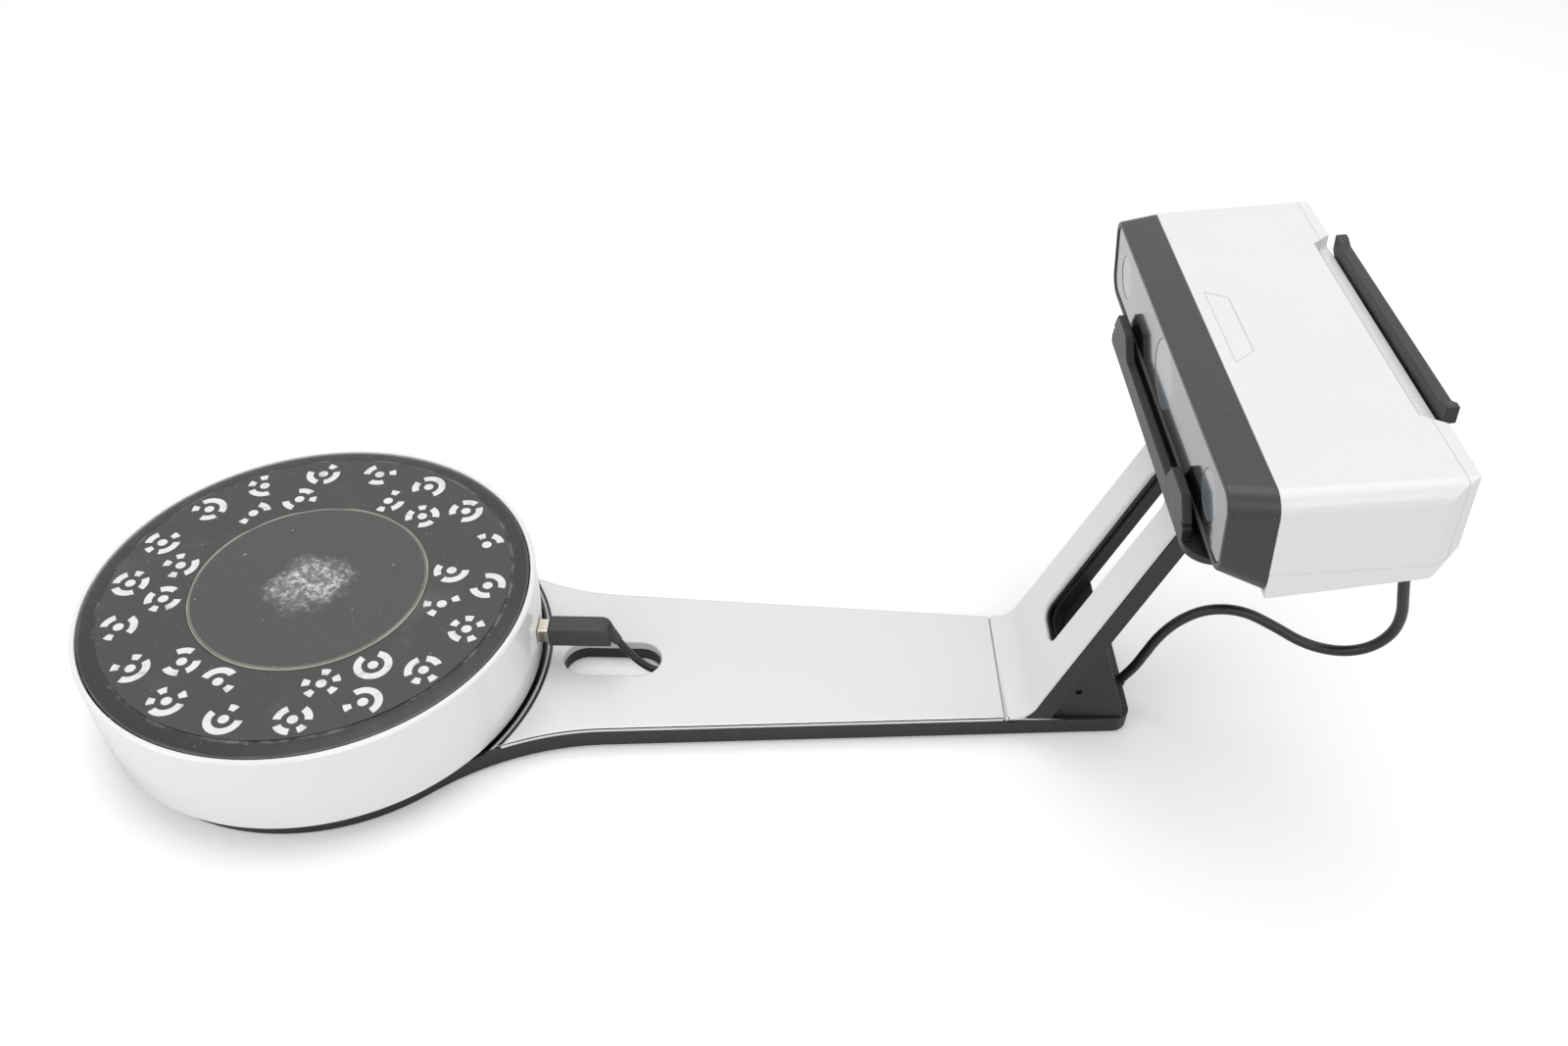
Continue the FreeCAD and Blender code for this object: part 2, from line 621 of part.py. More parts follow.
def build_drive():
    """Everything that turns, and the motor that turns it."""
    axis = size.axis_x
    plate_low = size.platter_top - size.platter_thick
    flange_low = plate_low - size.flange_thick
    plate = turned("platter_plate", [
        ("0", "platter_top - platter_thick"),
        ("platter_radius - 1", "platter_top - platter_thick"),
        ("platter_radius", "platter_top - platter_thick + 1"),
        ("platter_radius", "platter_top - platter_bevel_drop"),
        ("platter_radius - platter_bevel", "platter_top"),
        ("0", "platter_top"),
    ], (axis, 0, 0))
    screw_places = ring_places(4, 11, 45)
    holes = []
    for k, (x, y) in enumerate(screw_places):
        holes.append(cylinder("platter_hole%d" % k, "screw_radius + 0.1", "20", (x, y, plate_low - 2)))
        holes.append(cylinder("platter_seat%d" % k, "screw_head_radius + clearance", "20",
                              (x, y, size.platter_top - size.screw_head - 0.2)))
    node("platter", cut("platter_final", plate, *holes))
    screws = []
    for k, (x, y) in enumerate(screw_places):
        head = cylinder("platter_screw_head%d" % k, "screw_head_radius", "screw_head",
                        (x, y, size.platter_top - size.screw_head - 0.2))
        shank = cylinder("platter_screw_shank%d" % k, "screw_radius", "8",
                         (x, y, size.platter_top - size.screw_head - 0.2 - 7))
        screws.append(join("platter_screw%d" % k, head, shank))

    sheet_disc = cylinder("sheet_disc", "sheet_radius", "sheet_thick", (axis, 0, size.platter_top))
    sheet_hole = cylinder("sheet_hole", "pad_radius + 1", "4", (axis, 0, size.platter_top - 1))
    node("target_sheet", cut("sheet_final", sheet_disc, sheet_hole))
    node("centre_pad", rounded("pad_final", cylinder("pad_disc", "pad_radius", "pad_thick",
                                                     (axis, 0, size.platter_top)), 0.4,
                               lambda edge: edge.CenterOfMass.z > size.platter_top + 0.5))

    gear_low = flange_low - size.gear_thick
    spindle = turned("spindle_turn", [
        ("0", "bearing_low - 2"),
        ("spindle_radius - fit_gap", "bearing_low - 2"),
        ("spindle_radius - fit_gap", "platter_top - platter_thick - flange_thick"),
        ("flange_radius", "platter_top - platter_thick - flange_thick"),
        ("flange_radius", "platter_top - platter_thick"),
        ("0", "platter_top - platter_thick"),
    ], (axis, 0, 0))
    taps = [cylinder("spindle_tap%d" % k, "screw_radius + fit_gap", "8", (x, y, plate_low - 6))
            for k, (x, y) in enumerate(screw_places)]
    gear_places = ring_places(3, 11, 0)
    gear_taps = [cylinder("spindle_gear_tap%d" % k, "screw_radius + fit_gap", "5.4", (x, y, flange_low - 1))
                 for k, (x, y) in enumerate(gear_places)]
    node("spindle", cut("spindle_final", spindle, *(taps + gear_taps)))

    wheel = gear("drive_gear", int(size.gear_teeth), 0.0, "spindle_radius + fit_gap", gear_low, axis)
    wheel_holes = []
    for k, (x, y) in enumerate(gear_places):
        wheel_holes.append(cylinder("gear_hole%d" % k, "screw_radius + 0.1", "20", (x, y, gear_low - 2)))
        wheel_holes.append(cylinder("gear_seat%d" % k, "screw_head_radius + clearance", "screw_head + 1",
                                    (x, y, gear_low - 1)))
    node("drive_gear", cut("gear_drilled", wheel, *wheel_holes))
    for k, (x, y) in enumerate(gear_places):
        head = cylinder("gear_screw_head%d" % k, "screw_head_radius", "screw_head - 0.2",
                        (x, y, gear_low + 0.2))
        shank = cylinder("gear_screw_shank%d" % k, "screw_radius", "7.5", (x, y, gear_low + 1))
        screws.append(join("gear_screw%d" % k, head, shank))
    node("spindle_screws", group("spindle_screw_set", *screws))

    build_bearings(axis)
    build_motor(axis, gear_low)


def build_bearings(axis):
    """Two ball bearings: outer rings held by the housing, inner rings on the spindle."""
    race = (size.bearing_radius + size.spindle_radius) / 2
    outers, inners, balls = [], [], []
    for tag, level in (("low", "bearing_low"), ("high", "bearing_high")):
        middle = size.get(level) + size.bearing_height / 2
        groove = doc.addObject("Part::Torus", "groove_" + tag)
        bind(groove, Radius1="(bearing_radius + spindle_radius) / 2", Radius2="ball_radius + fit_gap")
        groove.Placement = FreeCAD.Placement(FreeCAD.Vector(axis, 0, middle), NO_TURN)
        bottom = size.get(level)
        outer = cut("outer_blank_" + tag,
                    cylinder("outer_disc_" + tag, "bearing_radius", "bearing_height", (axis, 0, bottom)),
                    cylinder("outer_bore_" + tag, "bearing_radius - 2.4", "20", (axis, 0, bottom - 2)))
        inner = cut("inner_blank_" + tag,
                    cylinder("inner_disc_" + tag, "spindle_radius + 2.4", "bearing_height",
                             (axis, 0, bottom)),
                    cylinder("inner_bore_" + tag, "spindle_radius", "20", (axis, 0, bottom - 2)))
        outers.append(cut("outer_" + tag, outer, groove))
        inners.append(cut("inner_" + tag, inner, groove))
        for k, (x, y) in enumerate(ring_places(int(size.ball_count), race)):
            balls.append(ball("ball_%s%d" % (tag, k), "ball_radius", (x, y, middle)))
    node("bearing_outer_rings", group("outer_rings", *outers))
    node("bearing_inner_rings", group("inner_rings", *inners))
    node("bearing_balls", group("ball_set", *balls))


def build_motor(axis, gear_low):
    """Stepper motor hung under a steel bracket, with the pinion on its shaft."""
    centre_distance = size.gear_module * (size.gear_teeth + size.pinion_teeth) / 2 + size.fit_gap
    motor_x = axis - centre_distance
    bracket_low = gear_low - size.bracket_thick - 0.6
    pan_top = size.pan_top
    bore_to = "%g" % (gear_low - bracket_low + 6)
    pinion_phase = 0.0 if int(size.pinion_teeth) % 2 else math.pi / size.pinion_teeth
    node("pinion", gear("pinion", int(size.pinion_teeth), pinion_phase, "motor_shaft_radius",
                        gear_low, motor_x))
    node("motor_shaft", cylinder("motor_shaft_rod", "motor_shaft_radius - fit_gap", bore_to,
                                 (motor_x, 0, bracket_low - 1)))

    motor_low = bracket_low - size.motor_height
    body = box("motor_block", "motor_side", "motor_side", "motor_height",
               (motor_x - size.motor_side / 2, 0, motor_low))
    chamfered = rounded("motor_chamfer", body, 3.0, upright, "Part::Chamfer")
    well = cylinder("motor_well", "motor_shaft_radius + clearance", "8", (motor_x, 0, bracket_low - 2))
    screw_places = [(motor_x + dx * 13, dy * 13) for dx in (-1, 1) for dy in (-1, 1)]
    taps = [cylinder("motor_tap%d" % k, "screw_radius + fit_gap", "6", (x, y, bracket_low - 4))
            for k, (x, y) in enumerate(screw_places)]
    boss = cylinder("motor_boss", "5.5", "1.5 + 1", (motor_x, 0, bracket_low - 1))
    node("stepper_motor", cut("motor_final", join("motor_joined", chamfered, boss), well, *taps))

    plate = box("bracket_plate", "46", "motor_side + 16", "bracket_thick",
                (motor_x - 23, 0, bracket_low))
    leg_y = size.motor_side / 2 + 6
    legs = [box("bracket_leg%d" % k, "30", "bracket_thick", "%g" % (bracket_low - pan_top + 1),
                (motor_x - 15, side * leg_y, pan_top)) for k, side in enumerate((-1, 1))]
    toes = [box("bracket_toe%d" % k, "30", "12", "bracket_thick",
                (motor_x - 15, side * (leg_y + 5), pan_top)) for k, side in enumerate((-1, 1))]
    holes = [cylinder("bracket_hole%d" % k, "screw_radius + 0.1", "8", (x, y, bracket_low - 3))
             for k, (x, y) in enumerate(screw_places)]
    eye = cylinder("bracket_eye", "11", "8", (motor_x, 0, bracket_low - 3))
    node("motor_bracket", cut("bracket_final", join("bracket_joined", plate, *(legs + toes)),
                              eye, *holes))
    screws = []
    for k, (x, y) in enumerate(screw_places):
        screws.append(join("motor_screw%d" % k,
                           cylinder("motor_screw_head%d" % k, "2.4", "0.4",
                                    (x, y, bracket_low + size.bracket_thick)),
                           cylinder("motor_screw_shank%d" % k, "screw_radius", "5",
                                    (x, y, bracket_low + size.bracket_thick - 4.9))))
    node("motor_screws", group("motor_screw_set", *screws))


# ---- arm, heel and cradle ---------------------------------------------------------------------

def arm_line(offset, height):
    """Formula of x, from the turntable axis, on the arm's front moved back by offset, at a height."""
    lean = "tan(90 - arm_angle)"
    return ("(arm_corner_at + (%s) / sin(arm_angle) + ((%s) - base_top - cover_thick) * %s)"
            % (offset, height, lean))


def arm_widths(name):
    """The arm seen from the front: it narrows towards the top."""
    return prism(name, "YZ_Plane", [
        ("-neck_end_half", "0"),
        ("neck_end_half", "0"),
        ("neck_end_half", "base_top + cover_thick"),
        ("arm_foot_half", "base_top + 15"),
        ("arm_top_half", "head_z"),
        ("arm_top_half", "head_z + 30"),
        ("-arm_top_half", "head_z + 30"),
        ("-arm_top_half", "head_z"),
        ("-arm_foot_half", "base_top + 15"),
        ("-neck_end_half", "base_top + cover_thick"),
    ], "base_length + 60", (size.axis_x + 100, 0, 0))


def arm_slot():
    """The long rounded slot through both arm shells, square to the arm's face."""
    rise = size.arm_slot_high - size.arm_slot_low
    length = rise / math.sin(math.radians(size.arm_angle))
    block = box("arm_slot_box", "%g" % length, "arm_slot_width", "60", (-length / 2, 0, -30))
    soft = rounded("arm_slot_block", block, size.arm_slot_corner, upright)
    middle = (size.arm_slot_high + size.arm_slot_low) / 2
    reach = (middle - size.base_top - size.cover_thick) / math.tan(math.radians(size.arm_angle))
    soft.Placement = FreeCAD.Placement(
        FreeCAD.Vector(size.axis_x + size.arm_corner_at + reach, 0, middle),
        FreeCAD.Rotation(FreeCAD.Vector(0, 1, 0), -size.arm_angle))
    return soft


def above_cradle():
    """The half space over the tray's underside, which trims the top of the arm."""
    block = box("over_tray", "400", "400", "200", (-150, 0, tray_low()))
    block.Placement = HEAD.multiply(block.Placement)
    return block


def build_arm():
    """White front cover and black rear shell of the arm, with a steel stiffener between."""
    axis = size.axis_x
    top = "head_z + 30"
    front = [("seam_at + 0.3", "base_top"),
             ("seam_at + 0.3", "base_top + cover_thick"),
             ("arm_corner_at", "base_top + cover_thick"),
             (arm_line("0", top), top),
             (arm_line("cover_thick", top), top),
             (arm_line("cover_thick", "base_top"), "base_top")]
    cover = prism("arm_cover_profile", "XZ_Plane", front, "200", (axis, 0, 0), True)

    def bend_edge(x, z):
        def chosen(edge):
            middle = edge.CenterOfMass
            return along(edge, FreeCAD.Vector(0, 1, 0)) and abs(middle.z - z) < 0.2 \
                and abs(middle.x - x) < 0.6
        return chosen

    lean = math.tan(math.radians(90 - size.arm_angle))
    back_x = (axis + size.arm_corner_at + size.cover_thick / math.sin(math.radians(size.arm_angle))
              - size.cover_thick * lean)
    inner = rounded("arm_cover_inner_bend", cover, size.arm_bend,
                    bend_edge(axis + size.arm_corner_at, size.base_top + size.cover_thick))
    bent = rounded("arm_cover_bend", inner, size.arm_bend + size.cover_thick,
                   bend_edge(back_x, size.base_top))
    slot = arm_slot()
    over = above_cradle()
    tapered = common("arm_cover_tapered", bent, arm_widths("arm_cover_widths"))
    node("arm_cover", cut("arm_cover_final", tapered, slot, over))

    half_cover = "cover_thick * 0.5"
    rear = [("seam_at + 2", "base_top"),
            (arm_line("arm_thick", "base_top"), "base_top"),
            (arm_line("arm_thick", top), top),
            (arm_line(half_cover, top), top),
            (arm_line(half_cover, "base_top + cover_thick * 0.5"), "base_top + cover_thick * 0.5"),
            ("seam_at + 2", "base_top + cover_thick * 0.5")]
    rear_blank = common("arm_rear_tapered",
                        prism("arm_rear_profile", "XZ_Plane", rear, "200", (axis, 0, 0), True),
                        arm_widths("arm_rear_widths"))
    rear_slot = slot
    pocket = stiffener("arm_pocket", 0.15)
    node("arm_rear_shell", cut("arm_rear_final", rear_blank, bent, rear_slot, over, pocket,
                               *arm_screw_holes("arm_tap", "screw_radius + fit_gap", tray_low() - 12)))
    frame_slot = arm_slot_margin()
    node("arm_stiffener", cut("stiffener_final", stiffener("stiffener_blank", 0.0), frame_slot, over))


def stiffener(name, grow):
    """A steel plate that lies in the back of the cover, inside the rear shell."""
    back = "cover_thick + 1.5"
    profile = [(arm_line("%s - %g" % (back, grow), "28 - %g" % grow), "28 - %g" % grow),
               (arm_line("%s + stiffener_thick + %g" % (back, grow), "28 - %g" % grow), "28 - %g" % grow),
               (arm_line("%s + stiffener_thick + %g" % (back, grow), "head_z - 12 + %g" % grow),
                "head_z - 12 + %g" % grow),
               (arm_line("%s - %g" % (back, grow), "head_z - 12 + %g" % grow), "head_z - 12 + %g" % grow)]
    return prism(name, "XZ_Plane", profile, "2 * arm_top_half - 6 + %g" % (2 * grow),
                 (size.axis_x, 0, 0), True)


def arm_slot_margin():
    """The slot grown by a wall, so that the stiffener stays inside the rear shell."""
    length = (size.arm_slot_high - size.arm_slot_low) / math.sin(math.radians(size.arm_angle)) + 5
    block = box("stiffener_slot", "%g" % length, "arm_slot_width + 5", "60", (-length / 2, 0, -30))
    middle = (size.arm_slot_high + size.arm_slot_low) / 2
    reach = (middle - size.base_top - size.cover_thick) / math.tan(math.radians(size.arm_angle))
    leaning = FreeCAD.Placement(
        FreeCAD.Vector(size.axis_x + size.arm_corner_at + reach, 0, middle),
        FreeCAD.Rotation(FreeCAD.Vector(0, 1, 0), -size.arm_angle))
    block.Placement = leaning.multiply(block.Placement)
    return block


def arm_screw_holes(name, radius, low):
    """Screws go down through the tray into the arm's thick rear shell."""
    holes = []
    for k, side in enumerate((-1, 1)):
        hole = cylinder(name + "%d" % k, radius, "24", (ARM_SCREW_DEPTH, side * 19, low))
        hole.Placement = HEAD.multiply(hole.Placement)
        holes.append(hole)
    return holes


def build_heel():
    """Hollow block behind the bend that carries the arm and lets the lead out."""
    axis = size.axis_x
    outer_profile = [(arm_line("arm_thick", "base_top"), "base_top"),
                     ("base_length - 4.5", "base_top"),
                     ("base_length - 4.5", "base_top + 4"),
                     (arm_line("arm_thick", "heel_top"), "heel_top")]
    outer = prism("heel_outer", "XZ_Plane", outer_profile, "2 * heel_web_half", (axis, 0, 0), True)
    inner_profile = [(arm_line("arm_thick + 0.01", "base_top - 1"), "base_top - 1"),
                     ("base_length - 4.5 - heel_wall", "base_top - 1"),
                     ("base_length - 4.5 - heel_wall", "base_top + 4"),
                     (arm_line("arm_thick + 0.01", "heel_top - 9"), "heel_top - 9")]
    inner = prism("heel_inner", "XZ_Plane", inner_profile, "2 * (heel_web_half - heel_wall)",
                  (axis, 0, 0), True)
    peep = cylinder("heel_peep", "heel_hole", "120", (axis + size.heel_hole_at, -60, size.heel_hole_height),
                    ALONG_Y)
    exit_hole = cylinder("heel_exit", "lead_radius + 1.4 + fit_gap", "3.5 * grommet_length",
                         tuple(grommet_start(-1.5)), lead_exit_turn())
    node("arm_heel", cut("heel_final", outer, inner, peep, exit_hole))


def lead_exit_way():
    """Direction in which the scanner's lead leaves the heel."""
    return (FreeCAD.Vector(*SCANNER_LEAD[1]) - FreeCAD.Vector(*SCANNER_LEAD[0])).normalize()


def lead_exit_turn():
    return FreeCAD.Rotation(UP, lead_exit_way())


def grommet_start(share=0.0):
    """The grommet's inner end, or a place that share of its length further out."""
    return FreeCAD.Vector(*SCANNER_LEAD[0]) - lead_exit_way() * size.grommet_length * (1.0 - share)


def tray_low():
    """Height of the tray's underside, in the head's frame."""
    return size.head_low - size.tray_gap - size.tray_thick


def build_cradle():
    """Black cradle: tray, front wall with two prongs, and a hooked rear lip on two legs."""
    low = "head_low - tray_gap - tray_thick"
    tray = box("tray_plate", "tray_back - tray_front", "2 * tray_half", "tray_thick",
               (size.tray_front, 0, tray_low()))
    soft_tray = rounded("tray_soft", tray, size.tray_corner, upright)
    wall = prism("tray_wall_profile", "YZ_Plane", [
        ("-tray_half + tray_corner", low),
        ("tray_half - tray_corner", low),
        ("tray_half - tray_corner", "tray_lip_top - 2"),
        ("tray_half - tray_corner - 3", "tray_lip_top"),
        ("prong_root_out", "tray_lip_top"),
        ("prong_top_out", "prong_top"),
        ("prong_top_in", "prong_top"),
        ("prong_root_in", "tray_lip_top"),
        ("-prong_root_in", "tray_lip_top"),
        ("-prong_top_in", "prong_top"),
        ("-prong_top_out", "prong_top"),
        ("-prong_root_out", "tray_lip_top"),
        ("-tray_half + tray_corner + 3", "tray_lip_top"),
        ("-tray_half + tray_corner", "tray_lip_top - 2"),
    ], "tray_wall", (size.tray_front, 0, 0))
    legs = [box("rear_leg%d" % k, "rear_lip_thick", "rear_leg_out - rear_leg_in",
                "rear_lip_low - head_low + tray_gap + tray_thick + 1",
                (size.tray_back - size.rear_lip_thick,
                 side * (size.rear_leg_in + size.rear_leg_out) / 2, tray_low()))
            for k, side in enumerate((-1, 1))]
    lip = prism("rear_lip_profile", "YZ_Plane", [
        ("-rear_lip_half", "rear_lip_low + 5"),
        ("-rear_lip_half + 6", "rear_lip_low"),
        ("rear_lip_half - 6", "rear_lip_low"),
        ("rear_lip_half", "rear_lip_low + 5"),
        ("rear_lip_half", "rear_lip_top + 2"),
        ("rear_lip_half - 3", "rear_lip_top + 2"),
        ("rear_lip_half - 7", "rear_lip_top"),
        ("-rear_lip_half + 7", "rear_lip_top"),
        ("-rear_lip_half + 3", "rear_lip_top + 2"),
        ("-rear_lip_half", "rear_lip_top + 2"),
    ], "rear_lip_thick", (size.tray_back - size.rear_lip_thick, 0, 0))
    holes = []
    for k, side in enumerate((-1, 1)):
        place = (ARM_SCREW_DEPTH, side * 19)
        holes.append(cylinder("tray_hole%d" % k, "screw_radius + 0.1", "10", (*place, tray_low() - 2)))
        holes.append(cylinder("tray_seat%d" % k, "screw_head_radius + clearance", "10",
                              (*place, tray_low() + size.tray_thick - size.screw_head)))
    lead_ways = [box("tray_lead_way%d" % k, "20", "60", "20",
                     (size.tray_back - LEAD_WAY, side * (size.rear_leg_out + 8 + 30), tray_low() - 5))
                 for k, side in enumerate((-1, 1))]
    trimmed_tray = cut("tray_trimmed", soft_tray, *lead_ways)
    joined = join("cradle_joined", trimmed_tray, wall, lip, *legs)
    node("cradle", cut("cradle_final", joined, *holes), HEAD)

    screws = []
    for k, side in enumerate((-1, 1)):
        place = (ARM_SCREW_DEPTH, side * 19)
        head = cylinder("cradle_screw_head%d" % k, "screw_head_radius", "screw_head - 0.2",
                        (*place, tray_low() + size.tray_thick - size.screw_head))
        shank = cylinder("cradle_screw_shank%d" % k, "screw_radius", "11",
                         (*place, tray_low() + size.tray_thick - size.screw_head - 10))
        screws.append(join("cradle_screw%d" % k, head, shank))
    node("cradle_screws", group("cradle_screw_set", *screws), HEAD)

    pads = [box("pad_block%d" % k, "12", "22", "tray_gap + 7", (depth, across, size.head_low - size.tray_gap))
            for k, (depth, across) in enumerate(((20, -58), (20, 58), (60, -58), (60, 58)))]
    node("cradle_pads", cut("pads_final", group("pad_blocks", *pads), head_solid("pad_shaper", 0.0)), HEAD)


# ---- scanning head ------------------------------------------------------------------------------

def head_solid(name, inset):
    """The head behind its bezel as one block, with every face moved in by the inset."""
    wall = "%g" % inset
    side = prism(name + "_side", "XZ_Plane", [
        ("bezel_deep - 1", "head_low + " + wall),
        ("bezel_deep", "head_low + " + wall),
        ("belly_end", wall),
        ("head_deep - " + wall, "head_back_low + " + wall),
        ("head_deep - " + wall, "head_top - " + wall),
        ("bezel_deep - 1", "head_top - " + wall),
    ], "2 * (head_half - %s)" % wall, (0, 0, 0), True)
    plan = prism(name + "_plan", "XY_Plane", [
        ("bezel_deep", "-head_half + " + wall),
        ("head_taper_at", "-head_half + " + wall),
        ("head_deep - " + wall, "-head_back_half + " + wall),
        ("head_deep - " + wall, "head_back_half - " + wall),
        ("head_taper_at", "head_half - " + wall),
        ("bezel_deep", "head_half - " + wall),
    ], "100", (0, 0, -40))
    radius = size.head_corner - inset * 0.5

    def end_edge(edge):
        middle = edge.CenterOfMass
        return along(edge, FreeCAD.Vector(1, 0, 0)) and abs(middle.y) > 50 and middle.z > 30

    block = rounded(name + "_soft", side, radius, end_edge)
    solid = common(name + "_block", block, plan)
    narrow = "(scoop_half + %s)" % wall
    wide = "(scoop_half + scoop_flare + %s)" % wall
    scoop = prism(name + "_scoop", "XY_Plane", [
        ("head_deep - scoop_deep - " + wall, "-" + narrow),
        ("head_deep", "-" + wide),
        ("head_deep + scoop_deep", "-" + wide),
        ("head_deep + scoop_deep", wide),
        ("head_deep", wide),
        ("head_deep - scoop_deep - " + wall, narrow),
    ], "head_corner + scoop_drop", (0, 0, size.head_top - size.scoop_drop - inset))
    return cut(name, solid, scoop)


def rounded_section(depth, half, low, high, radius):
    """A closed wire: a rectangle with round corners, square to the head's depth."""
    middles = []
    arcs = []
    for side_y, side_z in ((1, 1), (-1, 1), (-1, -1), (1, -1)):
        centre = FreeCAD.Vector(depth, side_y * (half - radius), (high - radius) if side_z > 0 else (low + radius))
        middles.append((centre, side_y, side_z))
    for centre, side_y, side_z in middles:
        across = FreeCAD.Vector(0, side_y * radius, 0)
        updown = FreeCAD.Vector(0, 0, side_z * radius)
        diagonal = (across + updown) * math.sqrt(0.5)
        first, last = (across, updown) if side_y * side_z > 0 else (updown, across)
        arcs.append(Part.Arc(centre + first, centre + diagonal, centre + last).toShape())
    edges = []
    for k, arc in enumerate(arcs):
        following = arcs[(k + 1) % 4]
        edges.append(arc)
        edges.append(Part.makeLine(arc.valueAt(arc.LastParameter), following.valueAt(following.FirstParameter)))
    return Part.Wire(edges)


def rounded_block(name, start, end):
    """A solid between two rounded rectangles, each given as depth, half, low, high, radius."""
    loft = Part.makeLoft([rounded_section(*start), rounded_section(*end)], True, True)
    return shaped(name, loft)


def build_head_shell():
    """Bezel, glass front, top shell, bottom shell and rear cover of the head."""
    outer = head_solid("head_outer", 0.0)
    inner = head_solid("head_inner", size.head_wall)
    plate = prism("badge_recess", "XY_Plane", [
        ("21.9", "-21.3"), ("30.3", "-14.9"), ("30.3", "24.4"), ("21.9", "30.2"),
    ], "5", (0, 0, size.head_top - 0.5))
    walls = cut("head_walls", outer, inner)
    rear_at = size.head_deep - size.rear_cover_deep
    front_box = box("front_box", "%g" % (rear_at + 20), "400", "400", (-20, 0, -200))
    rear_box = box("rear_box", "60", "400", "400", (rear_at, 0, -200))
    over_box = box("over_split", "400", "400", "200", (-20, 0, size.shell_split))
    front_walls = common("front_walls", walls, front_box)
    posts = [cylinder("bench_post%d" % k, "4.5", "%g" % (BENCH_LOW + 12),
                      (size.bench_at + size.bench_thick / 2, across, -12))
             for k, across in enumerate((-60, 60))]
    posts += [cylinder("main_post%d" % k, "3", "%g" % (size.main_board_height + 12), (depth, across, -12))
              for k, (depth, across) in enumerate(MAIN_POSTS)]
    posts_in = common("posts_in", group("post_set", *posts), outer)
    lower = cut("lower_walls", front_walls, over_box)
    node("head_bottom_shell", join("bottom_joined", lower, posts_in), HEAD)
    upper = common("upper_walls", front_walls, over_box)
    node("head_top_shell", cut("top_final", upper, plate), HEAD)
    button_hole = cylinder("button_hole", "button_radius + 0.25", "30",
                           (size.head_deep - 15, size.button_at, size.button_height), ALONG_X)
    usb_hole = box("usb_hole", "30", "12.4", "7.4", (size.head_deep - 15, HEAD_PORT_Y, HEAD_PORT_Z - 3.7))
    jack_hole = cylinder("jack_hole", "4.2", "30", (size.head_deep - 15, JACK_Y, HEAD_PORT_Z + 0.5), ALONG_X)
    node("rear_cover", cut("rear_final", common("rear_walls", walls, rear_box),
                           button_hole, usb_hole, jack_hole), HEAD)

    radius = size.head_corner + 1
    bezel = rounded_block("bezel_block",
                          (0, size.face_half, size.face_low, size.face_high, radius),
                          (size.bezel_deep, size.head_half, size.head_low, size.head_top, radius))
    rim = size.panel_rim
    ledge = size.panel_inset + size.panel_thick
    opening = rounded_block("bezel_opening",
                            (-1, size.face_half - rim, size.face_low + rim, size.face_high - rim, radius - rim),
                            (ledge, size.face_half - rim, size.face_low + rim, size.face_high - rim,
                             radius - rim))
    hollow = rounded_block("bezel_hollow",
                           (ledge - 0.5, size.face_half - 5, size.face_low + 5, size.face_high - 5, 5),
                           (size.bezel_deep + 1, size.head_half - 4, size.head_low + 6, size.head_top - 4, 5))
    node("front_bezel", cut("bezel_final", bezel, opening, hollow), HEAD)

    gap = size.fit_gap
    panel = rounded_block("panel_block",
                          (size.panel_inset, size.face_half - rim - gap, size.face_low + rim + gap,
                           size.face_high - rim - gap, radius - rim - gap),
                          (ledge, size.face_half - rim - gap, size.face_low + rim + gap,
                           size.face_high - rim - gap, radius - rim - gap))
    holes = [cylinder("panel_hole%d" % k, hole, "20", (-5, across, size.window_height), ALONG_X)
             for k, (across, hole) in enumerate(WINDOWS)]
    node("front_panel", cut("panel_final", panel, *holes), HEAD)
    panes = [cylinder("pane%d" % k, "%s - fit_gap" % hole, "window_thick",
                      (size.panel_inset + 0.2, across, size.window_height), ALONG_X)
             for k, (across, hole) in enumerate(WINDOWS)]
    node("camera_windows", group("camera_panes", panes[0], panes[2]), HEAD)
    node("projector_window", panes[1], HEAD)


